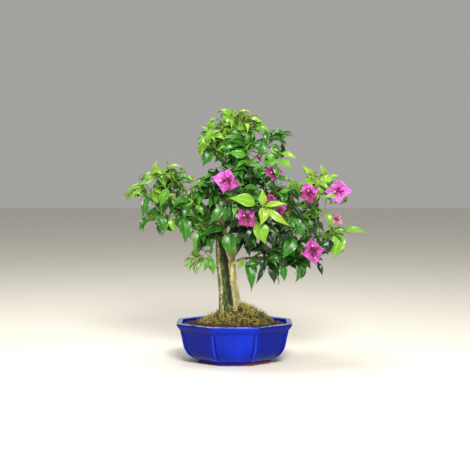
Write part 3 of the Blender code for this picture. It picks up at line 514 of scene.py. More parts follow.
# Leaves that mark the crown's outline or stand out in front, in millimetres: foot, tip, width
# and the number of their tint
MARKER_FACING = Vector((0.1, -1.0, 0.45)).normalized()
MARKER_ROLL = 0.3
MARKER_ARCH = 0.12
MARKER_LEAVES = (
    ((-2, -6, 462), (-28, -14, 474), 13, 3), ((-48, -12, 436), (-39, -20, 462), 12, 3),
    ((-42, -12, 426), (-62, -18, 444), 10, 3), ((-26, -14, 432), (-55, -20, 420), 13, 3),
    ((-54, -18, 426), (-67, -22, 395), 14, 3), ((-40, -14, 400), (-60, -20, 367), 19, 1),
    ((-20, -12, 398), (-38, -16, 374), 13, 1), ((54, -40, 418), (42, -46, 388), 15, 1),
    ((84, -14, 393), (117, -20, 381), 12, 4), ((80, -24, 380), (109, -28, 359), 16, 3),
    ((52, -60, 371), (90, -66, 380), 14, 2), ((50, -30, 394), (78, -34, 373), 14, 2),
    ((22, -76, 388), (-12, -80, 394), 15, 2), ((-26, -40, 352), (-50, -46, 362), 15, 0),
    ((30, -60, 348), (60, -64, 327), 16, 0), ((78, -62, 349), (106, -66, 340), 10, 1),
    ((104, -72, 262), (82, -76, 251), 13, 0), ((12, -52, 257), (-14, -56, 246), 13, 0),
    ((51, -112, 298), (49, -118, 332), 15, 5), ((52, -112, 299), (97, -120, 303), 13, 5),
    ((50, -112, 299), (45, -120, 263), 20, 5), ((54, -112, 297), (102, -114, 262), 14, 5),
    ((40, -98, 272), (55, -96, 229), 29, 3), ((40, -112, 302), (-12, -122, 313), 23, 3),
    ((-20, -96, 302), (-48, -100, 264), 18, 1), ((-12, -60, 256), (-68, -66, 236), 18, 1),
    ((-46, -40, 246), (-42, -44, 214), 13, 1), ((-62, -40, 252), (-77, -44, 212), 15, 2),
    ((10, -58, 254), (38, -64, 233), 16, 0), ((20, -50, 238), (28, -54, 201), 15, 0),
    ((-9, -56, 252), (-6, -60, 201), 28, 1), ((178, -14, 245), (214, -16, 252), 7, 3),
    ((199, -14, 250), (250, -18, 244), 12, 3), ((197, -36, 246), (185, -40, 196), 30, 3),
    ((173, -52, 238), (170, -56, 207), 21, 0), ((168, -12, 287), (186, -18, 250), 13, 3),
    ((140, -50, 283), (152, -56, 234), 15, 0), ((150, -46, 282), (166, -50, 246), 10, 0),
    ((104, -60, 303), (127, -66, 268), 16, 0), ((106, -62, 278), (122, -66, 238), 18, 1),
    ((112, -44, 250), (146, -48, 240), 12, 1), ((112, -52, 241), (88, -58, 198), 24, 1),
    ((86, -54, 262), (80, -60, 224), 17, 0), ((21, -26, 196), (31, -32, 134), 19, 1),
    ((18, -24, 192), (5, -28, 177), 10, 3), ((58, -28, 190), (39, -36, 149), 11, 0),
    ((66, -72, 277), (90, -76, 256), 17, 0), ((50, -42, 226), (20, -46, 208), 16, 0),
    ((56, -38, 202), (50, -42, 176), 15, 0), ((70, -30, 191), (74, -34, 150), 20, 0),
    ((89, -28, 188), (93, -32, 154), 16, 1), ((129, -24, 201), (112, -28, 150), 17, 1),
    ((122, -36, 197), (142, -40, 178), 14, 1), ((44, -32, 197), (16, -36, 184), 11, 1),
    ((56, -72, 252), (74, -76, 222), 21, 0), ((128, -28, 184), (123, -32, 158), 10, 0),
    ((155, -26, 191), (164, -30, 165), 11, 0), ((-94, -78, 278), (-90, -82, 229), 26, 1),
    ((-118, -46, 276), (-112, -50, 246), 13, 3), ((-130, -44, 272), (-124, -48, 245), 14, 2),
    ((-164, -28, 276), (-177, -34, 250), 12, 1), ((-142, -46, 280), (-129, -50, 245), 19, 1),
    ((-122, -40, 330), (-137, -46, 292), 19, 2), ((-162, -20, 312), (-171, -24, 272), 16, 1),
    ((-116, -60, 308), (-86, -64, 288), 16, 1), ((-72, -60, 309), (-104, -64, 294), 13, 3),
    ((-98, -58, 292), (-68, -62, 276), 16, 1), ((-50, -20, 343), (-77, -26, 331), 12, 3),
    ((-166, -4, 335), (-206, -10, 320), 9, 3), ((-170, -8, 328), (-198, -14, 304), 9, 3),
    ((-143, 0, 357), (-178, -6, 340), 10, 4), ((-146, -8, 350), (-185, -14, 333), 9, 3),
    ((-151, 0, 357), (-144, -6, 380), 10, 4), ((150, -14, 350), (124, -18, 367), 9, 4),
    ((153, -16, 343), (128, -20, 343), 11, 4), ((171, -4, 351), (160, -10, 372), 11, 4),
    ((173, -6, 347), (156, -10, 344), 10, 4), ((174, 4, 347), (199, 2, 349), 6, 4),
    ((-70, -6, 190), (-99, -8, 180), 8, 3), ((-44, -10, 200), (-40, -14, 162), 11, 2),
    ((-48, -12, 200), (-58, -16, 171), 12, 2), ((-62, -8, 190), (-70, -12, 168), 8, 3),
    ((-53, -16, 428), (-26, -22, 434), 11, 3), ((68, -20, 404), (79, -26, 388), 11, 4),
    ((72, -22, 410), (87, -28, 392), 12, 1), ((88, -16, 388), (54, -22, 379), 12, 2),
    ((182, -14, 351), (161, -20, 337), 15, 4), ((150, -18, 338), (166, -24, 316), 12, 3),
    ((190, -2, 342), (213, -6, 326), 6, 4), ((108, -20, 328), (106, -26, 348), 9, 3),
    ((116, -18, 326), (128, -24, 340), 9, 3), ((-58, -30, 426), (-64, -34, 404), 10, 3),
    ((71, -108, 372), (80, -112, 347), 11, 1), ((-75, -10, 200), (-64, -14, 222), 9, 3),
    ((-64, -14, 214), (-50, -18, 232), 9, 2), ((6, -50, 256), (30, -56, 238), 14, 0),
    ((14, -46, 246), (4, -50, 207), 15, 0), ((-100, -30, 346), (-74, -36, 339), 12, 1),
    ((76, -28, 392), (52, -32, 374), 14, 2), ((-58, -16, 226), (-76, -20, 206), 11, 2),
    ((-46, -12, 204), (-40, -16, 222), 8, 2), ((-72, -8, 198), (-84, -12, 210), 8, 3),
    ((58, -14, 434), (57, -20, 409), 12, 1), ((96, -34, 196), (116, -38, 176), 14, 0),
    ((36, -70, 362), (54, -74, 354), 12, 1), ((96, -72, 254), (106, -76, 236), 14, 0),
    ((46, -30, 193), (32, -34, 177), 12, 1), ((100, -40, 330), (124, -46, 314), 14, 1),
    ((98, -56, 328), (118, -60, 304), 15, 0), ((70, -58, 263), (88, -62, 246), 12, 0),
    ((-95, -22, 330), (-110, -26, 311), 11, 0), ((6, -30, 441), (-12, -34, 425), 12, 1),
    ((-10, -50, 304), (-24, -54, 279), 12, 0), ((-27, -48, 291), (-10, -52, 270), 12, 0),
    ((-8, -46, 276), (-20, -50, 252), 12, 0),
)

# Leaves that hold their upper side up and arch from their foot to their tip
ARCHING_FACING = Vector((0.0, -0.45, 1.0)).normalized()
ARCHING_ARCH = 0.26
ARCHING_LEAVES = (
    ((62, -8, 428), (102, -14, 420), 15, 1), ((62, -14, 420), (93, -20, 400), 14, 1),
    ((4, -4, 464), (35, -10, 461), 12, 4), ((30, -2, 459), (51, -8, 454), 10, 4),
    ((20, -12, 451), (56, -18, 444), 12, 4), ((42, -10, 440), (66, -16, 428), 12, 3),
    ((32, -22, 438), (55, -28, 423), 12, 2), ((-22, -14, 450), (-48, -20, 446), 11, 2),
    ((-130, -4, 360), (-91, -10, 363), 12, 4), ((-112, -8, 347), (-84, -14, 352), 12, 2),
    ((156, -54, 307), (198, -58, 303), 10, 3), ((-62, -22, 336), (-36, -28, 344), 12, 3),
)

# Where the photo shows open air, as left, right, lower and upper bounds on the plane through the
# pot's middle as the camera sees it, in millimetres
OPEN_AIR = (
    (-215, -170, 262, 302), (-190, -168, 262, 307), (-164, -146, 238, 262), (-145, -128, 364, 392),
    (38, 58, 418, 430), (119, 134, 336, 352), (140, 158, 360, 374), (178, 225, 352, 372),
    (-95, -69, 380, 440), (-215, -184, 331, 362), (-167, -150, 322, 338), (-112, -68, 366, 392),
    (-78, -50, 348, 366), (-46, -24, 364, 376), (-38, -26, 448, 464), (-16, 24, 472, 500),
    (26, 60, 465, 500), (52, 84, 448, 470), (96, 124, 394, 418), (50, 68, 388, 410),
    (112, 128, 298, 309), (56, 110, 448, 500), (84, 120, 434, 450), (26, 46, 378, 396),
    (98, 124, 342, 366), (214, 250, 290, 370), (182, 222, 254, 295), (222, 252, 254, 292),
    (206, 250, 214, 243), (166, 184, 276, 294), (212, 250, 190, 236), (128, 154, 150, 186),
    (162, 184, 150, 186), (97, 112, 146, 178), (44, 72, 138, 178), (-2, 50, 190, 203),
    (-2, 24, 138, 186), (84, 92, 146, 172), (122, 130, 240, 262), (60, 72, 222, 244),
    (-77, -66, 232, 250), (153, 175, 289, 303), (-100, -80, 197, 207), (62, 84, 438, 448),
    (184, 225, 336, 372), (78, 97, 331, 340), (160, 172, 254, 274), (68, 86, 404, 414),
    (-33, -18, 351, 359), (33, 40, 252, 268), (40, 46, 222, 237), (64, 70, 213, 228),
    (-119, -111, 266, 279), (-117, -106, 312, 322), (-31, -19, 292, 303), (-94, -85, 316, 324),
    (-48, -37, 338, 345), (-60, -46, 295, 303), (-97, -83, 331, 337), (-160, -149, 289, 299),
    (-128, -119, 281, 290),
)

# Leaf tints from the oldest and most shaded to the youngest and most lit, as seen in daylight: upper
# side, rib and underside. The darkest stand for the shade inside the crown, as painted shade
LEAF_TINTS = (
    ((8, 42, 3), (28, 76, 16), (42, 76, 26)),
    ((40, 98, 20), (68, 126, 36), (78, 120, 44)),
    ((68, 128, 26), (100, 154, 44), (106, 146, 54)),
    ((100, 150, 38), (130, 174, 58), (134, 162, 68)),
    ((122, 162, 46), (150, 184, 68), (146, 174, 76)),
    ((120, 154, 42), (146, 176, 64), (140, 166, 74)),
)


def srgb(colour):
    """A colour given as it looks on a screen, 0 to 255, in the renderer's linear values."""
    shares = [part / 255 for part in colour]
    return tuple(s / 12.92 if s <= 0.04045 else ((s + 0.055) / 1.055) ** 2.4 for s in shares)


def metres(point):
    return Vector(point) * MM


def clamp(value):
    return min(max(value, 0), 1)


def bell(off, spread):
    """1 in the middle, falling smoothly to 0 on both sides."""
    return math.exp(-((off / spread) ** 2))


def turn_from(middle, angle):
    """How far an angle in radians is from a middle in degrees, from -180 to 180 degrees."""
    return (math.degrees(angle) - middle + 180) % 360 - 180


def turned(one, other, angle):
    """The direction at an angle from one direction towards another that is square to it."""
    return one * math.cos(angle) + other * math.sin(angle)


def scattered(rng, spread):
    return Vector([rng.gauss(0, spread) for _ in range(3)])


def place_object(name, data):
    obj = bpy.data.objects.new(name, data)
    bpy.context.scene.collection.objects.link(obj)
    return obj


def lumps(place, layers):
    """The sum of layers of noise at a place, each with its own scale and strength."""
    return sum(strength * noise.noise(place * scale) for scale, strength in layers)


def give_values(obj, name, values):
    """Gives a number to each point of an object, for its material to read."""
    attribute = obj.data.attributes.new(name, "FLOAT", "POINT")
    attribute.data.foreach_set("value", values)


class Nodes:
    """A short way to add and join a material's nodes."""

    def __init__(self, material):
        self.tree = material.node_tree
        self.shader = self.tree.nodes["Principled BSDF"]
        self.place = self.add("ShaderNodeTexCoord").outputs["Object"]

    def add(self, kind, **values):
        node = self.tree.nodes.new(kind)
        for name, value in values.items():
            setattr(node, name, value)
        return node

    def join(self, source, target):
        self.tree.links.new(source, target)

    def noise(self, scale, detail=4.0, stretch=(1, 1, 1)):
        mapping = self.add("ShaderNodeMapping")
        mapping.inputs["Scale"].default_value = stretch
        self.join(self.place, mapping.inputs["Vector"])
        texture = self.add("ShaderNodeTexNoise")
        texture.inputs["Scale"].default_value = scale
        texture.inputs["Detail"].default_value = detail
        self.join(mapping.outputs["Vector"], texture.inputs["Vector"])
        return texture.outputs["Fac"]

    def ramp(self, source, stops):
        """A colour for each value of the source, from stops of (value, colour)."""
        node = self.add("ShaderNodeValToRGB")
        elements = node.color_ramp.elements
        while len(elements) < len(stops):
            elements.new(0.5)
        for element, (value, colour) in zip(elements, stops):
            element.position = value
            element.color = (*colour, 1)
        self.join(source, node.inputs["Fac"])
        return node.outputs["Color"]

    def mix(self, share, one, other):
        node = self.add("ShaderNodeMix", data_type="RGBA")
        self.join(share, node.inputs["Factor"])
        for source, socket in ((one, node.inputs["A"]), (other, node.inputs["B"])):
            if isinstance(source, tuple):
                socket.default_value = (*source, 1)
            else:
                self.join(source, socket)
        return node.outputs["Result"]

    def maths(self, operation, one, other):
        """A number worked out from two, kept from 0 to 1."""
        node = self.add("ShaderNodeMath", operation=operation, use_clamp=True)
        for k, source in enumerate((one, other)):
            if isinstance(source, (int, float)):
                node.inputs[k].default_value = source
            else:
                self.join(source, node.inputs[k])
        return node.outputs["Value"]

    def times(self, one, other):
        return self.maths("MULTIPLY", one, other)

    def plus(self, one, other):
        return self.maths("ADD", one, other)

    def between(self, source, low, high):
        """0 where the source is under low, 1 where it is over high."""
        node = self.add("ShaderNodeMapRange", interpolation_type="SMOOTHSTEP")
        node.inputs["From Min"].default_value = low
        node.inputs["From Max"].default_value = high
        self.join(source, node.inputs["Value"])
        return node.outputs["Result"]

    def part_of_place(self, axis):
        node = self.add("ShaderNodeSeparateXYZ")
        self.join(self.place, node.inputs["Vector"])
        return node.outputs[axis]

    def attribute(self, name):
        return self.add("ShaderNodeAttribute", attribute_name=name).outputs["Fac"]

    def colour(self, source):
        self.join(source, self.shader.inputs["Base Color"])

    def bump(self, source, strength, distance):
        node = self.add("ShaderNodeBump")
        node.inputs["Strength"].default_value = strength
        node.inputs["Distance"].default_value = distance
        self.join(source, node.inputs["Height"])
        self.join(node.outputs["Normal"], self.shader.inputs["Normal"])


def principled(name, colour, roughness, **sockets):
    material = bpy.data.materials.new(name)
    material.use_nodes = True
    shader = material.node_tree.nodes["Principled BSDF"]
    shader.inputs["Base Color"].default_value = (*colour, 1)
    shader.inputs["Roughness"].default_value = roughness
    for socket, value in sockets.items():
        shader.inputs[socket.replace("_", " ")].default_value = value
    return material


def glaze_material():
    """Cobalt glaze, with a painted highlight along the beads and painted shade in the grooves beside
    them, under the lip and on the side panels, the rim paler where it is worn and in part as a
    painted highlight, the shade over the foot, and bare clay under the foot."""
    material = principled("cobalt_glaze", srgb((10, 30, 190)), 0.22, Specular_IOR_Level=0.12)
    nodes = Nodes(material)
    flow = nodes.noise(26, 5, (1, 1, 0.4))
    cobalt = nodes.ramp(flow, ((0.3, srgb((8, 32, 144))), (0.7, srgb((10, 42, 184)))))
    across = nodes.part_of_place("X")
    off = nodes.maths("ABSOLUTE", across, 0)
    # Darker towards the side panels: painted shade, as they face away from the light in front
    deep = nodes.times(nodes.between(off, *SIDE_PANEL_SHADE), 0.75)
    cobalt = nodes.mix(deep, cobalt, srgb((0, 14, 104)))
    # From the relief values: a painted highlight on the beads' crests, and painted shade in the
    # grooves and under the lip
    relief = nodes.attribute("relief")
    cobalt = nodes.mix(nodes.between(relief, 0.7, 1.0), cobalt, srgb((14, 50, 196)))
    cobalt = nodes.mix(nodes.between(relief, 0.48, 0.0), cobalt, srgb((2, 10, 78)))
    height = nodes.part_of_place("Z")
    worn = nodes.between(off, *GLAZE_WORN)
    blotch = nodes.plus(nodes.noise(70, 6), nodes.times(worn, 0.2))
    # Pale blotches along the rim's edge: worn glaze, and in part a painted highlight on the lip
    rim = nodes.times(nodes.between(height, *RIM_EDGE), nodes.between(blotch, 0.36, 0.58))
    glazed = nodes.mix(nodes.times(rim, 0.8), cobalt, srgb((158, 164, 186)))
    shade = nodes.times(nodes.between(height, *FOOT_SHADE), 0.6)
    glazed = nodes.mix(shade, glazed, srgb((2, 12, 84)))
    line = nodes.plus(CLAY_LINE, nodes.times(nodes.between(across, *CLAY_SIDE), CLAY_RISE))
    line = nodes.plus(line, nodes.times(nodes.noise(60, 3), CLAY_WAVER))
    clay = nodes.maths("LESS_THAN", height, line)
    nodes.colour(nodes.mix(clay, glazed, srgb((122, 60, 34))))
    nodes.bump(nodes.noise(90, 2), 0.05, 0.6 * MM)
    return material


def soil_material(name, colour):
    material = principled(name, colour, 0.95)
    nodes = Nodes(material)
    dark = tuple(0.45 * part for part in colour)
    nodes.colour(nodes.ramp(nodes.noise(420, 6), ((0.35, dark), (0.7, colour))))
    nodes.bump(nodes.noise(900, 4), 0.6, 0.4 * MM)
    return material


def bark_material():
    """Tan bark with darker streaks, and moss in the hollows of the trunk."""
    material = principled("bark", srgb((196, 176, 128)), 0.85)
    nodes = Nodes(material)
    streak = nodes.noise(210, 7, (1, 1, 0.18))
    tan = nodes.ramp(
        streak,
        ((0.34, srgb((96, 82, 52))), (0.46, srgb((164, 150, 102))), (0.68, srgb((202, 190, 140)))),
    )
    patch = nodes.noise(38, 5)
    aged = nodes.mix(nodes.between(patch, 0.5, 0.66), tan, srgb((128, 132, 84)))
    knots = nodes.between(nodes.noise(120, 3, (1, 1, 0.7)), 0.64, 0.7)
    aged = nodes.mix(knots, aged, srgb((74, 58, 40)))
    fleck = nodes.noise(300, 8, (1, 1, 0.35))
    mossy = nodes.ramp(
        fleck,
        ((0.34, srgb((20, 32, 6))), (0.5, srgb((48, 62, 22))), (0.68, srgb((92, 104, 50)))),
    )
    mossy = nodes.mix(nodes.attribute("shade"), mossy, srgb((16, 24, 10)))
    edge = nodes.plus(nodes.attribute("hollow"), nodes.times(nodes.noise(160, 4), 0.4))
    nodes.colour(nodes.mix(nodes.between(edge, 0.62, 0.82), aged, mossy))
    nodes.bump(nodes.noise(260, 8, (1, 1, 0.3)), 0.5, 0.8 * MM)
    return material


def twig_material():
    material = principled("twig_bark", srgb((120, 96, 62)), 0.8)
    nodes = Nodes(material)
    stops = ((0.35, srgb((84, 66, 42))), (0.7, srgb((150, 128, 86))))
    nodes.colour(nodes.ramp(nodes.noise(300, 4), stops))
    return material


def leaf_materials():
    """A leaf's upper side, its rib with its stalk, and its underside, in each tint."""
    materials = []
    for k, (upper, rib, under) in enumerate(LEAF_TINTS):
        materials.append(principled(f"leaf_{k}_upper", srgb(upper), 0.3, Specular_IOR_Level=0.34))
        materials.append(principled(f"leaf_{k}_rib", srgb(rib), 0.45))
        materials.append(principled(f"leaf_{k}_under", srgb(under), 0.6))
    return materials


def blossom_materials():
    materials = []
    for name, (inner, rib, outer) in BRACT_TINTS.items():
        materials.append(principled(f"bract_{name}", srgb(inner), 0.6))
        materials.append(principled(f"bract_{name}_rib", srgb(rib), 0.6))
        materials.append(principled(f"bract_{name}_outer", srgb(outer), 0.6))
    materials.append(principled("flower_tube", srgb((118, 24, 62)), 0.55))
    materials.append(principled("flower_star", srgb((216, 192, 132)), 0.6))
    return materials


class Pile:
    """Many small meshes gathered into one, with a material number for each triangle."""

    def __init__(self):
        self.points = []
        self.faces = []
        self.slots = []
        self.margins = []
        self.count = 0

    def add(self, points, faces, slots=0, margin=()):
        """Takes in a mesh. Margin numbers its points on an edge that is shaded as sharp."""
        self.margins.extend(self.count + k for k in margin)
        self.points.append(np.asarray(points))
        self.faces.append(faces + self.count)
        self.slots.append(np.broadcast_to(slots, len(faces)))
        self.count += len(points)

    def build(self, name, materials, slot, smooth=True):
        """Makes the object, with only the materials that it uses, riding on the plant."""
        numbers = np.concatenate(self.slots)
        used, numbers = np.unique(numbers, return_inverse=True)
        mesh = bpy.data.meshes.new(name)
        mesh.from_pydata(np.concatenate(self.points), [], np.concatenate(self.faces))
        for k in used:
            mesh.materials.append(materials[k])
        mesh.polygons.foreach_set("material_index", numbers.astype(np.int32))
        mesh.polygons.foreach_set("use_smooth", np.full(len(numbers), smooth))
        if self.margins:
            self.sharpen(mesh)
        mesh.update()
        obj = place_object(name, mesh)
        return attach(obj, "root")

    def sharpen(self, mesh):
        """Marks the edges between two points of a margin as sharp."""
        on_margin = np.zeros(self.count, bool)
        on_margin[self.margins] = True
        ends = np.empty(2 * len(mesh.edges), np.int32)
        mesh.edges.foreach_get("vertices", ends)
        attribute = mesh.attributes.new("sharp_edge", "BOOLEAN", "EDGE")
        attribute.data.foreach_set("value", on_margin[ends.reshape(-1, 2)].all(axis=1))


def catmull(points, t):
    """The point at t, from 0 to 1, on a smooth curve through the points, spaced by index."""
    last = len(points) - 1
    place = clamp(t) * last
    i = min(int(place), last - 1)
    f = place - i
    a, b, c, d = (points[min(max(k, 0), last)] for k in (i - 1, i, i + 1, i + 2))
    return 0.5 * (
        2 * b + (c - a) * f + (2 * a - 5 * b + 4 * c - d) * f**2 + (3 * b - a - 3 * c + d) * f**3
    )


def row_at(rows, t):
    """The row at t, from 0 to 1, on smooth curves through the columns of a table."""
    return [catmull(column, t) for column in zip(*rows)]


def ring_faces(rings, sides):
    """Triangles between rings of points, and from each end ring to one more point."""
    faces = []
    for i in range(rings - 1):
        for k in range(sides):
            n = (k + 1) % sides
            low, high = i * sides, (i + 1) * sides
            faces += [(low + k, low + n, high + n), (low + k, high + n, high + k)]
    first, last, top = rings * sides, rings * sides + 1, (rings - 1) * sides
    for k in range(sides):
        n = (k + 1) % sides
        faces += [(first, n, k), (last, top + k, top + n)]
    return np.array(faces)


RING_FACES = {}


def tube(path, radii, sides):
    """Points and triangles of a closed tube along a path."""
    key = (len(path), sides)
    if key not in RING_FACES:
        RING_FACES[key] = ring_faces(*key)
    path = np.array([tuple(p) for p in path])
    runs = np.gradient(path, axis=0)
    runs /= np.linalg.norm(runs, axis=1)[:, None]
    angles = TURN * np.arange(sides) / sides
    cos, sin = np.cos(angles), np.sin(angles)
    side = np.cross(runs[0], (0.0, 0.0, 1.0))
    if np.linalg.norm(side) < 1e-3:
        side = np.array((1.0, 0.0, 0.0))
    rings = []
    for place, run, radius in zip(path, runs, radii):
        side = side - run * side.dot(run)
        side /= np.linalg.norm(side)
        other = np.cross(run, side)
        rings.append(place + radius * (np.outer(cos, side) + np.outer(sin, other)))
    return np.concatenate([*rings, path[:1], path[-1:]]), RING_FACES[key]


def bowed_at(start, end, bow, t):
    """The point at t, from 0 to 1, on a path that rises in its middle by a share of its length."""
    rise = UP * bow * (end - start).length
    return start.lerp(end, t) + rise * 4 * t * (1 - t)


def bowed(start, end, bow, steps):
    return [bowed_at(start, end, bow, i / steps) for i in range(steps + 1)]


def panel_offset(distance, share, height):
    """How far the pot's skin stands out, in millimetres: by the panel's bulge, and by the bead at
    the corner less the groove beside it."""
    low, high = BEAD_SPAN
    rise, fall = BEAD_FADES
    fade = clamp((height - low) / rise) * clamp((high - height) / fall)
    bulge = PANEL_BULGE * (1 - share**2) * clamp((height - BULGE_START) / BULGE_RISE)
    bead = math.sqrt(max(BEAD_RADIUS**2 - distance**2, 0))
    groove = GROOVE_DEPTH * bell(distance - GROOVE_PLACE, GROOVE_WIDTH)
    return bulge, fade * (bead - groove)


def pot_ring(half_width, height, relief_and_lip_shadow, relief=True):
    """One turn round the octagon, in metres, from corner to corner of each panel. The list takes in
    how far each point stands out, from 0 in the grooves to 1 on the beads, less the painted shadow
    under the lip, for the glaze's painted highlight and shade."""
    points = []
    half_panel = half_width * math.tan(math.pi / POT_SIDES)
    shares = [-s for s in reversed(PANEL_PLACES)] + list(PANEL_PLACES[1:-1])
    # The lip's painted shadow, taken off the relief that the glaze reads
    lip_shadow = LIP_SHADOW * bell(height - LIP_SHADOW_HEIGHT, LIP_SHADOW_SPREAD) if relief else 0
    for k in range(POT_SIDES):
        middle = TURN * k / POT_SIDES
        for share in shares:
            distance = (1 - abs(share)) * half_panel
            bulge, bead = panel_offset(distance, share, height) if relief else (0, 0)
            out = bulge + bead
            relief_and_lip_shadow.append(0.5 + 0.5 * max(-1, min(1, bead / BEAD_RADIUS - lip_shadow)))
            lean = math.copysign(bell(distance, BEAD_RADIUS), share) * math.pi / POT_SIDES
            x = half_width * math.cos(middle) - share * half_panel * math.sin(middle)
            y = half_width * math.sin(middle) + share * half_panel * math.cos(middle)
            x += out * math.cos(middle + lean)
            y += out * math.sin(middle + lean)
            points.append((x * MM, y * POT_DEPTH_SHARE * MM, height * MM))
    return points


def smooth_profile(profile, steps):
    """More stations on a smooth curve through a profile of (half width, height)."""
    count = (len(profile) - 1) * steps
    return [row_at(profile, i / count) for i in range(count + 1)]


def make_pot():
    relief_and_lip_shadow = []
    rings = [pot_ring(x, z, relief_and_lip_shadow) for x, z in smooth_profile(POT_OUTSIDE, OUTSIDE_STEPS)]
    rings += [pot_ring(x, z, relief_and_lip_shadow, False) for x, z in smooth_profile(POT_INSIDE, INSIDE_STEPS)]
    middles = np.array(((0, 0, 0), (0, 0, POT_INSIDE[-1][1] * MM)))
    pile = Pile()
    points = np.concatenate([np.array(rings).reshape(-1, 3), middles])
    pile.add(points, ring_faces(len(rings), len(rings[0])))
    pot = pile.build("glazed_pot", [glaze_material()], "cobalt_glaze")
    give_values(pot, "relief", [*relief_and_lip_shadow, 0.5, 0.5])
    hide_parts("pot")


def soil_height(x, y):
    """The soil's height in metres at a place in metres, before its lumps."""
    x, y = abs(x), abs(y) / POT_DEPTH_SHARE
    share = min(max(x, y, (x + y) * math.sqrt(0.5)) / (SOIL_HALF_WIDTH * MM), 1.0)
    for (outer, low), (inner, high) in zip(SOIL_TOP, SOIL_TOP[1:]):
        if share >= inner:
            break
    f = clamp((share - inner) / (outer - inner))
    return (high + (low - high) * f) * MM


def on_soil(out, angle):
    """Where a point of the soil is, in metres, from how far out it is in millimetres."""
    return out * math.cos(angle) * MM, out * math.sin(angle) * POT_DEPTH_SHARE * MM


def add_soil_bed(pile):
    """The lumpy top of the soil, from the wall in to the middle, and its level underside."""
    half_panel = math.pi / POT_SIDES
    points = []
    for i in range(SOIL_RINGS):
        share = 1 - i / SOIL_RINGS
        for k in range(SOIL_SIDES):
            angle = TURN * k / SOIL_SIDES
            off = (angle + half_panel) % (2 * half_panel) - half_panel
            reach = SOIL_HALF_WIDTH / math.cos(off)
            x, y = on_soil(share * reach, angle)
            lump = noise.noise((x * SOIL_LUMP_SCALE, y * SOIL_LUMP_SCALE, 0))
            lump += SOIL_CRUMB_SHARE * noise.noise((x * SOIL_CRUMB_SCALE, y * SOIL_CRUMB_SCALE, 3))
            rise = SOIL_LUMPS * lump * MM if i else -SOIL_EDGE_DROP * MM
            points.append((x, y, soil_height(x, y) + rise))
    foot = SOIL_UNDERSIDE * MM
    under = [(x, y, foot) for x, y, _ in points[:SOIL_SIDES]]
    middles = [(0, 0, foot), (0, 0, soil_height(0, 0))]
    pile.add(under + points + middles, ring_faces(SOIL_RINGS + 1, SOIL_SIDES))


def add_grains(pile, rng):
    """Loose grains, scattered over the soil and sunk in it."""
    corners, faces = icosahedron()
    for _ in range(SOIL_GRAINS):
        angle = rng.uniform(0, TURN)
        share = math.sqrt(rng.uniform(*GRAIN_SPAN))
        x, y = on_soil(share * SOIL_HALF_WIDTH, angle)
        size = rng.uniform(*GRAIN_SIZE) * MM
        stretch = np.array([rng.uniform(*GRAIN_STRETCH) for _ in range(3)]) * size
        rough = 1 + GRAIN_ROUGHNESS * np.array([rng.uniform(-1, 1) for _ in corners])
        place = np.array((x, y, soil_height(x, y) + GRAIN_LIFT * size))
        pile.add(corners * rough[:, None] * stretch + place, faces, rng.choice(GRAIN_TINTS))


def make_soil(rng):
    """A crumbly top of earth inside the pot, with loose grains on it."""
    pile = Pile()
    add_soil_bed(pile)
    add_grains(pile, rng)
    materials = [soil_material(name, srgb(colour)) for name, colour in SOIL_TINTS.items()]
    soil = pile.build("loose_soil", materials, "soil", smooth=False)
    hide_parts("soil")


def icosahedron():
    """The corners and faces of a round grain: its faces join the corners that are neighbours."""
    golden = (1 + math.sqrt(5)) / 2
    corners = []
    for a in (-1, 1):
        for b in (-golden, golden):
            corners += [(0, a, b), (a, b, 0), (b, 0, a)]
    corners = np.array(corners) / math.hypot(1, golden)
    gaps = np.linalg.norm(corners[:, None] - corners[None], axis=2)
    longest_edge = 1.06
    faces = []
    for i, j, k in itertools.combinations(range(len(corners)), 3):
        if max(gaps[i, j], gaps[j, k], gaps[i, k]) < longest_edge:
            a, b, c = corners[i], corners[j], corners[k]
            outward = np.dot(np.cross(b - a, c - a), a) > 0
            faces.append((i, j, k) if outward else (i, k, j))
    return corners, np.array(faces)


def moss_point(share, angle):
    """A point of the mound's lumpy skin, in metres, at a share of the way out."""
    out, height = row_at(MOSS_PROFILE, share)
    left = max(0, -math.cos(angle))
    out *= 1 - (1 - MOSS_LEFT_SHARE) * left
    height -= MOSS_LEFT_DROP * left * math.sin(math.pi * share)
    x = (MOSS_CENTRE[0] + out * math.cos(angle)) * MM
    y = (MOSS_CENTRE[1] + out * MOSS_DEPTH_SHARE * math.sin(angle)) * MM
    place = Vector((x, y, height * MM))
    rise = UP * MOSS_LUMPS * MM * lumps(place, MOSS_LAYERS)
    return place + rise * min(1, (1 - share) * MOSS_LUMP_FADE)


def add_moss_bed(pile):
    points = []
    for i in range(MOSS_RINGS):
        for k in range(MOSS_SIDES):
            points.append(tuple(moss_point(1 - i / MOSS_RINGS, TURN * k / MOSS_SIDES)))
    foot = tuple(c * MM for c in (*MOSS_CENTRE, MOSS_PROFILE[-1][1]))
    points += [foot, tuple(moss_point(0, 0))]
    pile.add(points, ring_faces(MOSS_RINGS, MOSS_SIDES))


def moss_material(name, colour):
    return principled(f"moss_{name}", srgb(colour), 0.95 if name == "bed" else 0.9)


def make_moss(rng):
    """A mound of fine moss: a lumpy bed, and thousands of short strands that bend over."""
    pile = Pile()
    add_moss_bed(pile)
    for _ in range(MOSS_TUFTS):
        share = math.sqrt(rng.uniform(*TUFT_SPAN))
        add_tuft(pile, share, rng.uniform(0, TURN), rng)
    materials = [moss_material(name, colour) for name, colour in MOSS_TINTS.items()]
    moss = pile.build("moss_mound", materials, "moss")
    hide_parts("moss")


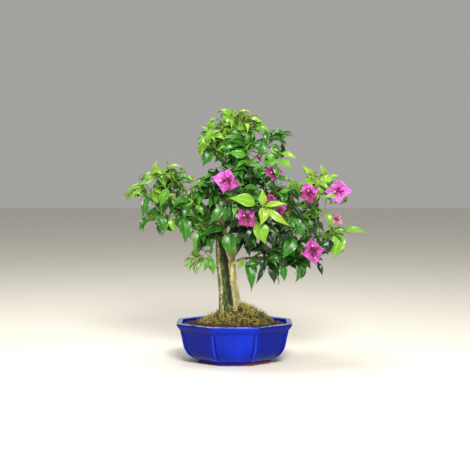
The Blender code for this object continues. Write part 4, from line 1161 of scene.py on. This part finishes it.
def add_tuft(pile, share, angle, rng):
    """A tuft of moss: strands that spread from one root and bend over."""
    root = moss_point(share, angle)
    lean = Vector((math.cos(angle), math.sin(angle), 0)) * share * TUFT_LEAN
    patch = MOSS_PATCHES * noise.noise(root * MOSS_PATCH_SCALE)
    shade = rng.gauss(*MOSS_SHADE) + patch + MOSS_MIDDLE_LIGHT * (MOSS_LIGHT_REACH - share)
    size = rng.uniform(*TUFT_SIZES) * (TUFT_AT_EDGE if share > MOSS_EDGE else 1.0)
    for _ in range(TUFT_STRANDS):
        away = scattered(rng, TUFT_SPREAD)
        way = (UP + lean + away).normalized()
        length = rng.uniform(*STRAND_LENGTH) * size * MM
        turn = (way + away * STRAND_BEND - UP * STRAND_BEND).normalized()
        foot = root + scattered(rng, STRAND_FOOT_SPREAD) * MM
        path = [foot - way * MM, foot + way * length * 0.5, foot + (way + turn) * length * 0.5]
        radii = [STRAND_RADIUS * MM * taper for taper in STRAND_TAPER]
        tint = tint_of_moss(shade + rng.gauss(0, STRAND_SHADE_SPREAD))
        pile.add(*tube(path, radii, STRAND_SIDES), tint)


def tint_of_moss(shade):
    """The number of a strand's tint, from the brown and dark ones in the shade to the bright."""
    name = MOSS_ORDER[sum(shade > limit for limit in MOSS_LIMITS)]
    return list(MOSS_TINTS).index(name)


def trunk_at(t):
    """Height, x, y, radius and channel depth at a place from 0 to 1 along the trunk."""
    return row_at(TRUNK_STATIONS, t)


def hollow_at(angle, height):
    """How deep in the front channel a place is, from 0 to 1. The channel ends at the fork."""
    wander = CHANNEL_WANDER * noise.noise((height / CHANNEL_WANDER_STEP, angle, 0))
    wander += CHANNEL_RIPPLE * noise.noise((height / CHANNEL_RIPPLE_STEP, 2 * angle, 5))
    off = turn_from(CHANNEL_DARK_MIDDLE, angle) + wander
    fade = clamp((CHANNEL_TOP - height) / CHANNEL_FADE)
    return math.exp(-((off / CHANNEL_DARK_SPREAD) ** 4)) * fade


def shade_at(angle, height):
    """How dark the channel is, from 0 to 1: most along its right side."""
    wander = SHADE_WANDER * noise.noise((height / SHADE_WANDER_STEP, 0, 9))
    off = turn_from(CHANNEL_SHADE_MIDDLE, angle) + wander
    return bell(off, CHANNEL_SHADE_SPREAD) * hollow_at(angle, height)


def damp_at(angle, height):
    """Where moss grows, from 0 to 1: all through the channel, and in patches on the left side."""
    side = DAMP_SIDE_SHARE * bell(turn_from(DAMP_SIDE, angle), DAMP_SIDE_SPREAD)
    return max(hollow_at(angle, height), side * clamp((DAMP_SIDE_TOP - height) / DAMP_SIDE_FADE))


def bark_relief(place, height):
    """Streaks, pits and rings of the bark, in millimetres."""
    long = Vector(p * scale for p, scale in zip(place, BARK_GRAIN))
    fine = Vector(p * scale for p, scale in zip(place, BARK_FINE_GRAIN))
    waver = BARK_RING_WAVER * noise.noise(place * BARK_RING_SCALE)
    ring = max(0, math.sin(height / BARK_RING_STEP + waver)) ** 6
    return BARK_STREAKS * noise.noise(long) + BARK_PITS * noise.noise(fine) + BARK_RINGS * ring


def trunk_reach(angle, radius, depth, foot):
    """How far the trunk's skin is from its middle, in millimetres, before the bark's relief."""
    cut = 0.0
    for middle, spread, share in TRUNK_CHANNELS:
        cut += share * bell(turn_from(middle, angle), spread)
    ridge = 1 + ROOT_RIDGE_SHARE * math.cos(ROOT_RIDGES * angle + ROOT_RIDGE_TURN)
    return radius * (1 - depth * cut) + ROOT_FLARE * foot * ridge


def trunk_mesh(pile, hollows):
    points = []
    for i in range(TRUNK_RINGS + 1):
        height, x, y, radius, depth = trunk_at(i / TRUNK_RINGS)
        rough = RELIEF_ON_THIN + RELIEF_BY_GIRTH * radius / THICK_TRUNK
        foot = math.exp(-(height - TRUNK_STATIONS[0][0]) / ROOT_FLARE_HEIGHT)
        for k in range(TRUNK_SIDES):
            angle = TURN * k / TRUNK_SIDES
            reach = trunk_reach(angle, radius, depth, foot)
            place = metres((x + reach * math.cos(angle), y + reach * math.sin(angle), height))
            relief = bark_relief(place, height) * rough
            pits = HOLLOW_PITS * noise.noise(place * HOLLOW_PIT_SCALE) - HOLLOW_SINK
            relief += hollow_at(angle, height) * pits - SHADE_SINK * shade_at(angle, height)
            reach += relief
            across = (x + reach * math.cos(angle)) * MM
            points.append((across, (y + reach * math.sin(angle)) * MM, height * MM))
            hollows.append((damp_at(angle, height), shade_at(angle, height)))
    for t in (0, 1):
        height, x, y, _, _ = trunk_at(t)
        points.append((x * MM, y * MM, height * MM))
        hollows.append((0.0, 0.0))
    pile.add(points, ring_faces(TRUNK_RINGS + 1, TRUNK_SIDES))


def trunk_path():
    stations = [trunk_at(i / TRUNK_STOPS) for i in range(TRUNK_STOPS + 1)]
    return [metres((x, y, height)) for height, x, y, _, _ in stations]


def lengths_of(path):
    return [(b - a).length for a, b in zip(path, path[1:])]


def along(path, place):
    """The point at a share of a path's length."""
    lengths = lengths_of(path)
    left = place * sum(lengths)
    for a, b, length in zip(path, path[1:], lengths):
        if left <= length:
            return a.lerp(b, left / length)
        left -= length
    return path[-1].copy()


def share_of_reach(off, mass):
    """How far out an offset from a mass's middle goes, as a share of its reach that way."""
    return Vector(o / (r * MM) for o, r in zip(off, mass.reach)).length


def bough_path(mass, parent):
    """A bough's middle line, from inside its parent to just inside its mass."""
    stops = [along(parent, mass.place), *map(metres, mass.via)]
    centre = metres(mass.centre)
    back = stops[-1] - centre
    stops.append(centre + back * min(BOUGH_ENTRY / share_of_reach(back, mass), BOUGH_ENTRY_MOST))
    if len(stops) == 2:
        run = stops[1] - stops[0]
        stops.insert(1, stops[0] + run * 0.5 + UP * BOUGH_RISE * run.length)
    steps = max(2, round(sum(lengths_of(stops)) / (PATH_STEP * MM)))
    return [catmull(stops, i / steps) for i in range(steps + 1)]


def bough_radii(mass, count):
    """A bough's radius at each of its rings, in metres, from its foot in its parent."""
    tip = max(mass.girth * BOUGH_TAPER, BOUGH_THINNEST)
    by_girth, more = COLLAR_LENGTH
    radii = []
    for i in range(count + 1):
        girth = mass.girth + (tip - mass.girth) * (i / count)
        collar = 1 + COLLAR * math.exp(-i * BOUGH_RING_STEP / (by_girth * mass.girth + more))
        knot = 1 + KNOT * max(0, math.sin(i * KNOT_STEP + mass.girth * KNOT_SHIFT)) ** 5
        buried = min(1.0, BURIED_SHARE + BURIED_RISE * i * BOUGH_RING_STEP / mass.girth)
        radii.append(girth * collar * knot * buried * MM)
    return radii


def bough_mesh(mass, path, pile, hollows):
    """A bough and its bark, along the path of its solid."""
    count = max(6, round(sum(lengths_of(path)) / (BOUGH_RING_STEP * MM)))
    places = [catmull(path, i / count) for i in range(count + 1)]
    sides = BOUGH_SIDES if mass.girth < THICK_BOUGH else 2 * BOUGH_SIDES
    points, faces = tube(places, bough_radii(mass, count), sides)
    rough = []
    for k, point in enumerate(points[: len(places) * sides]):
        centre = np.array(tuple(places[k // sides]))
        lump = lumps(Vector(point), BOUGH_BARK_LAYERS)
        away = (point - centre) / np.linalg.norm(point - centre)
        rough.append(point + away * lump * MM * min(1.0, mass.girth / ROUGH_GIRTH))
    pile.add(np.concatenate([rough, points[-2:]]), faces)
    hollows.extend([(0.0, 0.0)] * len(points))


def make_limbs():
    """The trunk and boughs as one piece of bark. Gives their paths and skin for the leaves."""
    pile = Pile()
    hollows = []
    trunk_mesh(pile, hollows)
    paths = {"trunk": trunk_path()}
    for mass in MASSES:
        if mass.girth:
            paths[mass.name] = bough_path(mass, paths[mass.parent])
            bough_mesh(mass, paths[mass.name], pile, hollows)
    bark = pile.build("trunk_and_boughs", [bark_material()], "bark")
    for name, values in zip(("hollow", "shade"), zip(*hollows)):
        give_values(bark, name, values)
    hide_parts("trunk", *[f"{mass.name}_bough" for mass in MASSES if mass.girth])
    points, faces = np.concatenate(pile.points), np.concatenate(pile.faces)
    return paths, BVHTree.FromPolygons(points.tolist(), faces.tolist())


def power(point, mass):
    """How far outside a mass's own sphere a point is, as a power of the point."""
    size = sum(mass.reach) / 3 * MM
    return (point - metres(mass.centre)).length_squared - size**2


def cell_margin(point, mass):
    """How far inside its mass's cell a point is. It is below zero in another mass's cell."""
    own = power(point, mass)
    centre = metres(mass.centre)
    margins = []
    for other in MASSES:
        if other is not mass:
            apart = (metres(other.centre) - centre).length
            margins.append((power(point, other) - own) / (2 * apart))
    return min(margins)


def owner_of(point):
    return max(MASSES, key=lambda mass: cell_margin(point, mass))


def within_reach(point, mass):
    return share_of_reach(point - metres(mass.centre), mass) <= REACH_SLACK


def is_in_open_air(point):
    """Whether a place is seen from the front where the photo shows open air."""
    apart = 1 - point.y / CAMERA_PLACE[1]
    x = point.x / apart / MM
    z = (CAMERA_PLACE[2] + (point.z - CAMERA_PLACE[2]) / apart) / MM
    return any(x0 < x < x1 and z0 < z < z1 for x0, x1, z0, z1 in OPEN_AIR)


class Leaf(NamedTuple):
    """A blade, in metres: where its stalk starts, its direction, its upper side, size and tint,
    and its arch as a share of its length. A calm one hardly twists."""

    root: Vector
    along: Vector
    facing: Vector
    length: float
    width: float
    tint: int
    arch: float = 0.1
    calm: bool = False

    def at(self, share):
        """The point at a share of its length, on the line from its root to its tip."""
        return self.root + self.along * self.length * share

    def frame(self):
        """The directions across it and out of its upper side."""
        side = self.along.cross(self.facing).normalized()
        return side, side.cross(self.along)


def blade_faces():
    """Triangles of a blade, and the part that each is of."""
    rings = len(LEAF_STATIONS)
    wide = len(LEAF_ACROSS)
    foot, tip = rings * wide, rings * wide + 1
    faces = []
    parts = []
    for a in range(wide):
        b = (a + 1) % wide
        part = UNDER if a >= LEAF_EDGES[1] else RIB if a == LEAF_RIB else UPPER
        for i in range(rings - 1):
            low, high = i * wide, (i + 1) * wide
            faces += [(low + a, high + b, low + b), (low + a, high + a, high + b)]
        faces += [(foot, a, b), (tip, (rings - 1) * wide + b, (rings - 1) * wide + a)]
        parts += [part] * (2 * rings)
    return np.array(faces), np.array(parts)


def blade_margin():
    """The points on a blade's margin: its edges, its foot and its tip."""
    wide = len(LEAF_ACROSS)
    count = len(LEAF_STATIONS) * wide
    return [k for k in range(count) if k % wide in LEAF_EDGES] + [count, count + 1]


def bract_parts():
    """A bract's parts: at its foot, where the flower tubes stand, it is as dark as its rib."""
    at_foot = BLADE_FACES.min(axis=1) < BRACT_DARK_ROWS * len(LEAF_ACROSS)
    return np.where((BLADE_PARTS == UPPER) & at_foot, RIB, BLADE_PARTS)


BLADE_FACES, BLADE_PARTS = blade_faces()
BLADE_MARGIN = blade_margin()
BRACT_PARTS = bract_parts()


class Form(NamedTuple):
    """How a blade bends, as shares of its length or width, and how thick it is, in metres."""

    fold: float
    arch: float
    wave: float
    twist: float
    thick: float = LEAF_THICK
    outline: np.ndarray = LEAF_OUTLINE


def blade_points(leaf, form, rng):
    """The points of a folded, arching blade with a drawn-out tip and a wavy edge."""
    root, way, facing = map(np.array, (leaf.root, leaf.along, leaf.facing))
    length, width = leaf.length, leaf.width
    side = np.cross(way, facing)
    side /= np.linalg.norm(side)
    up = np.cross(side, way)
    u = LEAF_STATIONS
    half = form.outline * width / 2
    bend = rng.uniform(-LEAF_BEND, LEAF_BEND)
    rise = 4 * form.arch * u * (1 - u)
    slope = 4 * form.arch * (1 - 2 * u)
    spine = root + np.outer(u * length, way) + np.outer(rise * length, up)
    spine = spine + np.outer(bend * u * (1 - u) * 4 * length, side)
    normal = (up - np.outer(slope, way)) / np.sqrt(1 + slope**2)[:, None]
    turn = form.twist * u
    across = np.cos(turn)[:, None] * side + np.sin(turn)[:, None] * normal
    normal = np.cos(turn)[:, None] * normal - np.sin(turn)[:, None] * side
    waves = TURN * LEAF_WAVES * u + rng.uniform(0, TURN)
    columns = []
    for v, under in zip(LEAF_ACROSS, LEAF_UNDER):
        ripple = form.wave * width * v**2 * np.sin(waves + (WAVE_LAG if v > 0 else 0))
        bulge = LEAF_BULGE * math.sin(math.pi * abs(v)) * half
        lift = abs(v) * half * form.fold * 2 + bulge + ripple * form.outline - under * form.thick
        columns.append(spine + across * (v * half)[:, None] + normal * lift[:, None])
    grid = np.stack(columns, axis=1).reshape(-1, 3)
    return np.concatenate([grid, [root, root + way * length]])


def seen_points(leaf):
    """Points of a blade's outline and rib, to see whether it would stand in open air."""
    side, up = leaf.frame()
    for share, half in SEEN_STATIONS:
        middle = leaf.at(share) + up * leaf.length * leaf.arch * 4 * share * (1 - share)
        for away in (-half, 0, half):
            yield middle + side * away * leaf.width


def rough_points(leaf, skip=PLACED_SKIP):
    """Six points of a blade, for a quick test of what it touches."""
    side, up = leaf.frame()
    up = up.normalized()
    middle = leaf.at(LEAF_WIDEST) + up * leaf.length * leaf.arch
    edge = middle + up * leaf.width * ROUGH_LIFT
    half = side * leaf.width / 2
    thick = up * ROUGH_HALF_THICK * MM
    foot = leaf.root.lerp(middle, skip)
    return [foot, leaf.at(1), edge - half, edge + half, middle + thick, middle - thick]


def rough_tree(leaf, skip=PLACED_SKIP):
    return BVHTree.FromPolygons(rough_points(leaf, skip), ROUGH_FACES)


class Crowd:
    """The blades placed so far, by the cell that they are in, to keep a new one from cutting them."""

    def __init__(self, skin):
        self.skin = skin
        self.cells = {}

    def cell(self, place):
        return tuple(int(c // CROWD_CELL) for c in place)

    def near(self, place):
        """The blades in the cell that a place is in and in the cells round it."""
        for cell in itertools.product(*((c - 1, c, c + 1) for c in self.cell(place))):
            yield from self.cells.get(cell, ())

    def add(self, leaf):
        middle = leaf.at(0.5)
        item = (middle, leaf.length / 2, rough_tree(leaf))
        self.cells.setdefault(self.cell(middle), []).append(item)

    def is_clear(self, leaf):
        tree = rough_tree(leaf, TRIED_SKIP)
        if tree.overlap(self.skin):
            return False
        middle = leaf.at(0.5)
        for place, size, other in self.near(middle):
            if (place - middle).length < size + leaf.length / 2 and tree.overlap(other):
                return False
        return True


def rolled(facing, direction, turn):
    """A blade's upper side, turned about its direction."""
    return Quaternion(direction, turn) @ facing


def facing_of(direction, point):
    """The side that a blade turns to the light: up, and outwards from the crown's middle."""
    outward = Vector((point.x, point.y, 0))
    if outward.length:
        outward.normalize()
    facing = UP + FACING_OUT * outward
    if facing.cross(direction).length < LEAST_FACING:
        facing = facing + outward.orthogonal()
    return facing.normalized()


class Twig:
    """A twig's ends and radius, in metres, the twig that carries it, and what it bears."""

    def __init__(self, start, end, radius, parent=None):
        self.start = start
        self.end = end
        self.radius = radius
        self.parent = parent
        self.load = 0
        if parent:
            parent.load += 1

    def span(self):
        return (self.end - self.start).length

    def way(self):
        return (self.end - self.start).normalized()

    def detour(self, seat, point):
        """How far a point is from a seat on the twig, and more where a new twig would turn back."""
        run = point - seat
        return run.length * (FORK_STRAIGHTNESS - self.way().dot(run.normalized()))

    def at(self, share):
        """The point at a share of its length: a twig rises in its middle."""
        return bowed_at(self.start, self.end, TWIG_BOW, share)


class Growth:
    """One mass while it grows: its twigs, the seats taken on them and its leaves."""

    def __init__(self, mass, paths):
        self.mass = mass
        path = paths[mass.name] if mass.girth else paths[mass.parent]
        start = path[-1] if mass.girth or mass.place == 1.0 else along(path, mass.place)
        self.twigs = [Twig(start, metres(mass.centre), STEM_RADIUS)]
        self.taken = []
        self.leaves = []

    def is_free(self, seat):
        return all((seat - other).length > SEAT_SPACING for other in self.taken)

    def attach(self, point, load=0):
        """Adds a twig to the point from the nearest free seat, if there is one."""
        seats = [(twig.at(share), twig) for twig in self.twigs for share in TWIG_SEATS]
        for seat, parent in sorted(seats, key=lambda item: item[1].detour(item[0], point)):
            span = (point - seat).length
            if not SEAT_SPACING < span < TWIG_LONGEST or not self.is_free(seat):
                continue
            twig = Twig(seat, point, TWIG_RADIUS, parent)
            twig.load = load
            self.twigs.append(twig)
            self.taken.append(seat)
            return twig
        return None

    def prune(self):
        """Takes off the twigs that bear nothing, from the last one grown back to the first."""
        for twig in reversed(self.twigs[1:]):
            if not twig.load:
                twig.parent.load -= 1
                self.twigs.remove(twig)


def shoot_points(mass, rng):
    """Where the shoots of a mass end: spread evenly over it, drawn in to stay in its cell."""
    centre = metres(mass.centre)
    points = []
    count = round(mass.shoots * SHOOT_SHARE * SPARSE.get(mass.name, 1.0))
    spin = rng.uniform(0, TURN)
    for k in range(count):
        height = 1 - 2 * (k + 0.5) / count
        angle = spin + k * GOLDEN_ANGLE
        flat = math.sqrt(1 - height**2)
        way = Vector((flat * math.cos(angle), flat * math.sin(angle), height))
        depth = rng.uniform(*SHOOT_DEPTH)
        for share in SHOOT_STEPS_IN:
            point = centre + Vector(w * r * MM for w, r in zip(way, mass.reach)) * depth * share
            if cell_margin(point, mass) > SHOOT_MARGIN:
                points.append(point)
                break
    return sorted(points, key=lambda point: (point - centre).length)


def tint_of(youth_and_light):
    return min(max(round(youth_and_light), 0), len(LEAF_TINTS) - 1)


class Shoot(NamedTuple):
    """The axis that a twig's leaves stand round, two directions across it, the turn of the first
    leaf, and how large the leaves are and how young and lit they look, with painted light and shade
    in that last."""

    axis: Vector
    side: Vector
    other: Vector
    spin: float
    scale: float
    youth_and_light: float


def shoot_on(twig, mass, rng):
    centre = metres(mass.centre)
    axis = (twig.way() + (twig.end - centre).normalized()).normalized()
    side = axis.orthogonal().normalized()
    spin = rng.uniform(0, TURN)
    # Higher in its mass, a shoot's leaves take lighter tints: painted light from above
    lift = (twig.end.z - centre.z) / (mass.reach[2] * MM)
    youth_and_light = mass.youth_and_light + PAINTED_LIGHT_BY_HEIGHT * lift + rng.gauss(0, YOUTH_SPREAD)
    return Shoot(axis, side, axis.cross(side), spin, SMALL_LEAVED.get(mass.name, 1.0), youth_and_light)


def leaf_on(shoot, root, turn, age, shrink, rng):
    """A leaf that leans out from its shoot, more and drooping more the older it is."""
    least, most, sag = (a + b * age for a, b in (LEAST_TILT, MOST_TILT, DROOP_BY_AGE))
    tilt = math.radians(rng.uniform(least, most))
    size = YOUNG_SIZE + SIZE_BY_AGE * age
    spread = rng.uniform(1 - LEAF_SPREAD, 1 + LEAF_SPREAD)
    length = LEAF_LENGTH * shoot.scale * size * shrink * spread
    droop = UP * DROOP * sag * rng.uniform(*DROOP_SPREAD)
    out = turned(shoot.side, shoot.other, shoot.spin + turn * GOLDEN_ANGLE)
    way = (turned(shoot.axis, out, tilt) - droop).normalized()
    tint = tint_of(shoot.youth_and_light + YOUTH_TO_TIP * (0.5 - age) + rng.gauss(0, TINT_SPREAD))
    young, old = LEAF_WIDTH_SHARES
    width = length * (young + (old - young) * age) * rng.uniform(*LEAF_WIDTH_SPREAD)
    facing = rolled(facing_of(way, root), way, rng.gauss(0, LEAF_ROLL))
    return Leaf(root, way, facing, length, width, tint, rng.uniform(*LEAF_ARCHES))


def has_room(leaf, mass, crowd):
    """Whether a leaf keeps to its mass, stays out of the open air and cuts nothing."""
    if not all(within_reach(point, mass) for point in rough_points(leaf)):
        return False
    return not any(is_in_open_air(point) for point in seen_points(leaf)) and crowd.is_clear(leaf)


def grow_leaves(growth, twig, rng, crowd):
    """Blades set round a shoot by the golden angle, older and larger ones further from its tip."""
    span = twig.span()
    shoot = shoot_on(twig, growth.mass, rng)
    for k in range(LEAVES_A_SHOOT):
        back = FIRST_LEAF_BACK + LEAF_SPACING * k * (LEAST_SPACING + SPACING_GROWTH * k)
        if back > span * LEAFY_SHARE:
            break
        root = twig.at(1 - back / span)
        age = min(k / YOUNG_LEAVES, 1.0)
        for attempt, shrink in enumerate(LEAF_SHRINKS):
            turn = k + STEPS_BETWEEN_TRIES * attempt
            leaf = leaf_on(shoot, root, turn, age, shrink, rng)
            if has_room(leaf, growth.mass, crowd):
                growth.leaves.append(leaf)
                twig.load += 1
                crowd.add(leaf)
                break


def marker_leaf(root, tip, width, tint, rng, facing=MARKER_FACING, arch=MARKER_ARCH):
    """A leaf between two places that turns its upper side to the front, or another way."""
    root, tip = metres(root), metres(tip)
    way = (tip - root).normalized()
    facing = rolled(facing, way, rng.uniform(-MARKER_ROLL, MARKER_ROLL))
    return Leaf(root, way, facing, (tip - root).length, width * MM, tint, arch, True)


def bract_leaves(blossom):
    """A whorl of bracts, set evenly round the way that the cluster faces."""
    centre = metres(blossom.centre)
    axis = Vector(blossom.facing).normalized()
    side = axis.cross(UP).normalized()
    other = side.cross(axis)
    leaves = []
    for k in range(blossom.bracts):
        angle = math.radians(blossom.turn) + TURN * k / blossom.bracts
        way = turned(axis, turned(side, other, angle), BRACT_OPENING).normalized()
        # Bracts that face up take a lighter tint and those that face down a darker one: painted light
        # and shade
        upper, middle, lower = map(BRACT_NAMES.index, blossom.tints)
        tint = upper if way.z > BRACT_IS_UP else middle if way.z > BRACT_IS_DOWN else lower
        length = blossom.length * BRACT_SIZES[k] * MM
        leaves.append(Leaf(centre, way, axis, length, length * BRACT_WIDTH_SHARE, tint))
    return leaves


def add_leaf(pile, leaf, rng):
    """A leaf's stalk, which sets out as its blade arches, and its blade."""
    _, up = leaf.frame()
    stalk = leaf.length * PETIOLE_SHARE * (CALM_PETIOLE if leaf.calm else 1)
    foot = leaf.root + (leaf.along + up * 2 * leaf.arch).normalized() * stalk
    path = bowed(leaf.root, foot, PETIOLE_BOW, PETIOLE_STEPS)
    slot = PARTS * leaf.tint
    pile.add(*tube(path, (PETIOLE_RADIUS,) * len(path), PETIOLE_SIDES), slot + RIB)
    run = leaf.at(1) - foot
    blade = leaf._replace(root=foot, along=run.normalized(), length=run.length)
    twist = CALM_TWIST if leaf.calm else LEAF_TWIST
    form = Form(
        fold=rng.uniform(*(CALM_FOLDS if leaf.calm else LEAF_FOLDS)),
        arch=leaf.arch,
        wave=rng.uniform(*LEAF_RIPPLES),
        twist=rng.uniform(-twist, twist),
    )
    pile.add(blade_points(blade, form, rng), BLADE_FACES, slot + BLADE_PARTS, BLADE_MARGIN)


def add_bract(pile, leaf, rng):
    form = Form(
        fold=rng.uniform(*BRACT_FOLDS),
        arch=rng.uniform(*BRACT_ARCHES),
        wave=rng.uniform(*BRACT_RIPPLES),
        twist=rng.uniform(-BRACT_TWIST, BRACT_TWIST),
        thick=BRACT_THICK,
        outline=BRACT_OUTLINE,
    )
    points = blade_points(leaf, form, rng)
    pile.add(points, BLADE_FACES, PARTS * leaf.tint + BRACT_PARTS, BLADE_MARGIN)


def add_blossom(pile, leaves, rng):
    """Papery bracts, each with a slim flower tube on its rib, and a cream star where it is open."""
    for leaf in leaves:
        add_bract(pile, leaf, rng)
    for k, leaf in enumerate(leaves[:FLOWERS]):
        lean = (leaf.facing + leaf.along * FLOWER_LEAN).normalized()
        start = leaf.at(FLOWER_SEAT)
        end = start + lean * leaf.length * rng.uniform(*FLOWER_LENGTHS)
        girths = FLOWER_GIRTHS * (leaf.length * FLOWER_RADIUS)
        path = bowed(start, end, FLOWER_BOW, len(girths) - 1)
        pile.add(*tube(path, girths, FLOWER_SIDES), TUBE_SLOT)
        reach = leaf.length * (OPEN_FLOWER_REACH if k < OPEN_FLOWERS else SHUT_FLOWER_REACH)
        pile.add(*flower_star(end, lean, reach), STAR_SLOT)


def flower_star(centre, axis, reach):
    """A small flower: points round its middle, every other one drawn out."""
    side = axis.orthogonal().normalized()
    other = axis.cross(side)
    points = [centre - axis * reach * STAR_BACK, centre + axis * reach * STAR_MIDDLE]
    faces = []
    for k in range(STAR_POINTS):
        out = reach * (STAR_NOTCH if k % 2 else 1.0)
        away = turned(side, other, TURN * k / STAR_POINTS) * out
        points.append(centre + away + axis * reach * STAR_RISE)
        n = (k + 1) % STAR_POINTS
        faces += [(1, 2 + k, 2 + n), (0, 2 + n, 2 + k)]
    return [tuple(p) for p in points], np.array(faces)


def add_twigs(pile, growth, rng):
    """Every twig of a mass, the stem darker than the green shoots, with a few thorns."""
    stem = growth.twigs[0]
    for twig in growth.twigs:
        path = bowed(twig.start, twig.end, TWIG_BOW, TWIG_STEPS)
        radii = np.linspace(twig.radius, twig.radius * TWIG_TIP_SHARE, TWIG_STEPS + 1)
        pile.add(*tube(path, radii, TWIG_SIDES), 0 if twig is stem else 1)
        for share in THORN_SEATS:
            if twig.span() < THORNED_SPAN or rng.random() < THORNLESS_SHARE:
                continue
            seat = twig.at(share)
            away = scattered(rng, THORN_SPREAD)
            way = (twig.way() + away).normalized()
            tip = seat + way * rng.uniform(*THORN_LENGTH) * MM
            path = bowed(seat, tip, THORN_BOW, len(THORN_TAPER) - 1)
            pile.add(*tube(path, THORN_TAPER * THORN_RADIUS, THORN_SIDES), 0)


# Which masses' leaves are joined in one piece
REGIONS = {
    "top": ("apex", "top_left", "top_right", "top_front", "top_back", "centre_upper"),
    "middle": ("centre_left", "centre_front", "centre_right", "centre_low", "left_low_inner"),
    "left": ("left_upper", "left_tip", "left_low", "left_inner", "low_sprig"),
    "right": ("right_upper", "right_far", "right_mid", "right_tip", "right_low", "right_low_inner"),
    "back": ("back_centre", "back_low", "left_back", "left_back_low", "right_back", "right_low_back"),
}


def place_blossoms(growths, crowd, rng):
    """Every cluster on a twig of the mass that it is in. Gives the mesh of them all."""
    pile = Pile()
    for blossom in BLOSSOMS:
        leaves = bract_leaves(blossom)
        centre = metres(blossom.centre)
        growths[owner_of(centre).name].attach(centre, load=1)
        add_blossom(pile, leaves, rng)
        for leaf in leaves:
            crowd.add(leaf)
    return pile


def place_markers(growths, crowd, rng):
    markers = [marker_leaf(*marker, rng) for marker in MARKER_LEAVES]
    markers += [marker_leaf(*marker, rng, ARCHING_FACING, ARCHING_ARCH) for marker in ARCHING_LEAVES]
    for leaf in markers:
        growth = growths[owner_of(leaf.root).name]
        growth.attach(leaf.root, load=1)
        growth.leaves.append(leaf)
        crowd.add(leaf)


def grow_masses(growths, crowd):
    """Shoots and leaves of every mass, each with its own random numbers."""
    for number, mass in enumerate(MASSES):
        growth = growths[mass.name]
        rng = random.Random(number + 1)
        shoots = [growth.attach(point) for point in shoot_points(mass, rng)]
        for twig in filter(None, shoots):
            grow_leaves(growth, twig, rng, crowd)
        growth.prune()


def build_leaves(growths):
    """One piece of leaves for each region. Gives the last one's generator, for the thorns."""
    materials = leaf_materials()
    for region, names in REGIONS.items():
        pile = Pile()
        rng = random.Random(len(region))
        for name in names:
            for leaf in growths[name].leaves:
                add_leaf(pile, leaf, rng)
        leaves = pile.build(f"leaves_{region}", materials, "leaf")
        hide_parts(*[f"{name}_foliage" for name in names])
    return rng


def build_twigs(growths, rng):
    pile = Pile()
    for growth in growths.values():
        add_twigs(pile, growth, rng)
    green_bark = principled("green_twig", srgb((92, 118, 52)), 0.6)
    pile.build("twigs", [twig_material(), green_bark], "bark")


def make_crown(paths, skin):
    """Twigs, leaves and blossom of every mass, each kind joined, the leaves by region."""
    growths = {mass.name: Growth(mass, paths) for mass in MASSES}
    crowd = Crowd(skin)
    rng = random.Random(BLOSSOM_SEED)
    blossoms = place_blossoms(growths, crowd, rng)
    place_markers(growths, crowd, rng)
    grow_masses(growths, crowd)
    build_twigs(growths, build_leaves(growths))
    blossoms.build("blossom", blossom_materials(), "leaf")


def make_stage():
    r = FLOOR_REACH
    corners = [(-r, -r, 0), (r, -r, 0), (r, r, 0), (-r, r, 0)]
    floor = bpy.data.meshes.new("floor")
    floor.from_pydata(corners, [], [(0, 1, 2, 3)])
    floor.materials.append(principled("pale_floor", srgb((236, 231, 220)), 0.75))
    obj = place_object("floor", floor)
    world = bpy.data.worlds.new("studio")
    world.use_nodes = True
    background = world.node_tree.nodes["Background"]
    background.inputs["Color"].default_value = STUDIO_COLOUR
    background.inputs["Strength"].default_value = STUDIO_STRENGTH
    bpy.context.scene.world = world
    bpy.context.scene.view_settings.view_transform = "Standard"


def make_lights():
    for name, place, target, size, power, colour in LIGHTS:
        light = bpy.data.lights.new(name, "AREA")
        light.size = size
        light.energy = power
        light.color = colour
        obj = place_object(name, light)
        obj.location = place
        obj.rotation_euler = (Vector(target) - Vector(place)).to_track_quat("-Z", "Y").to_euler()


def make_camera():
    camera = bpy.data.cameras.new("camera")
    camera.lens = CAMERA_LENS
    camera.sensor_width = SENSOR_WIDTH
    obj = place_object("camera", camera)
    obj.location = CAMERA_PLACE
    obj.rotation_euler = (math.radians(90) - CAMERA_DOWN, 0, 0)
    bpy.context.scene.camera = obj


def main():
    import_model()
    make_stage()
    make_lights()
    make_camera()
    make_pot()
    make_soil(random.Random(SOIL_SEED))
    make_moss(random.Random(MOSS_SEED))
    paths, skin = make_limbs()
    make_crown(paths, skin)


main()
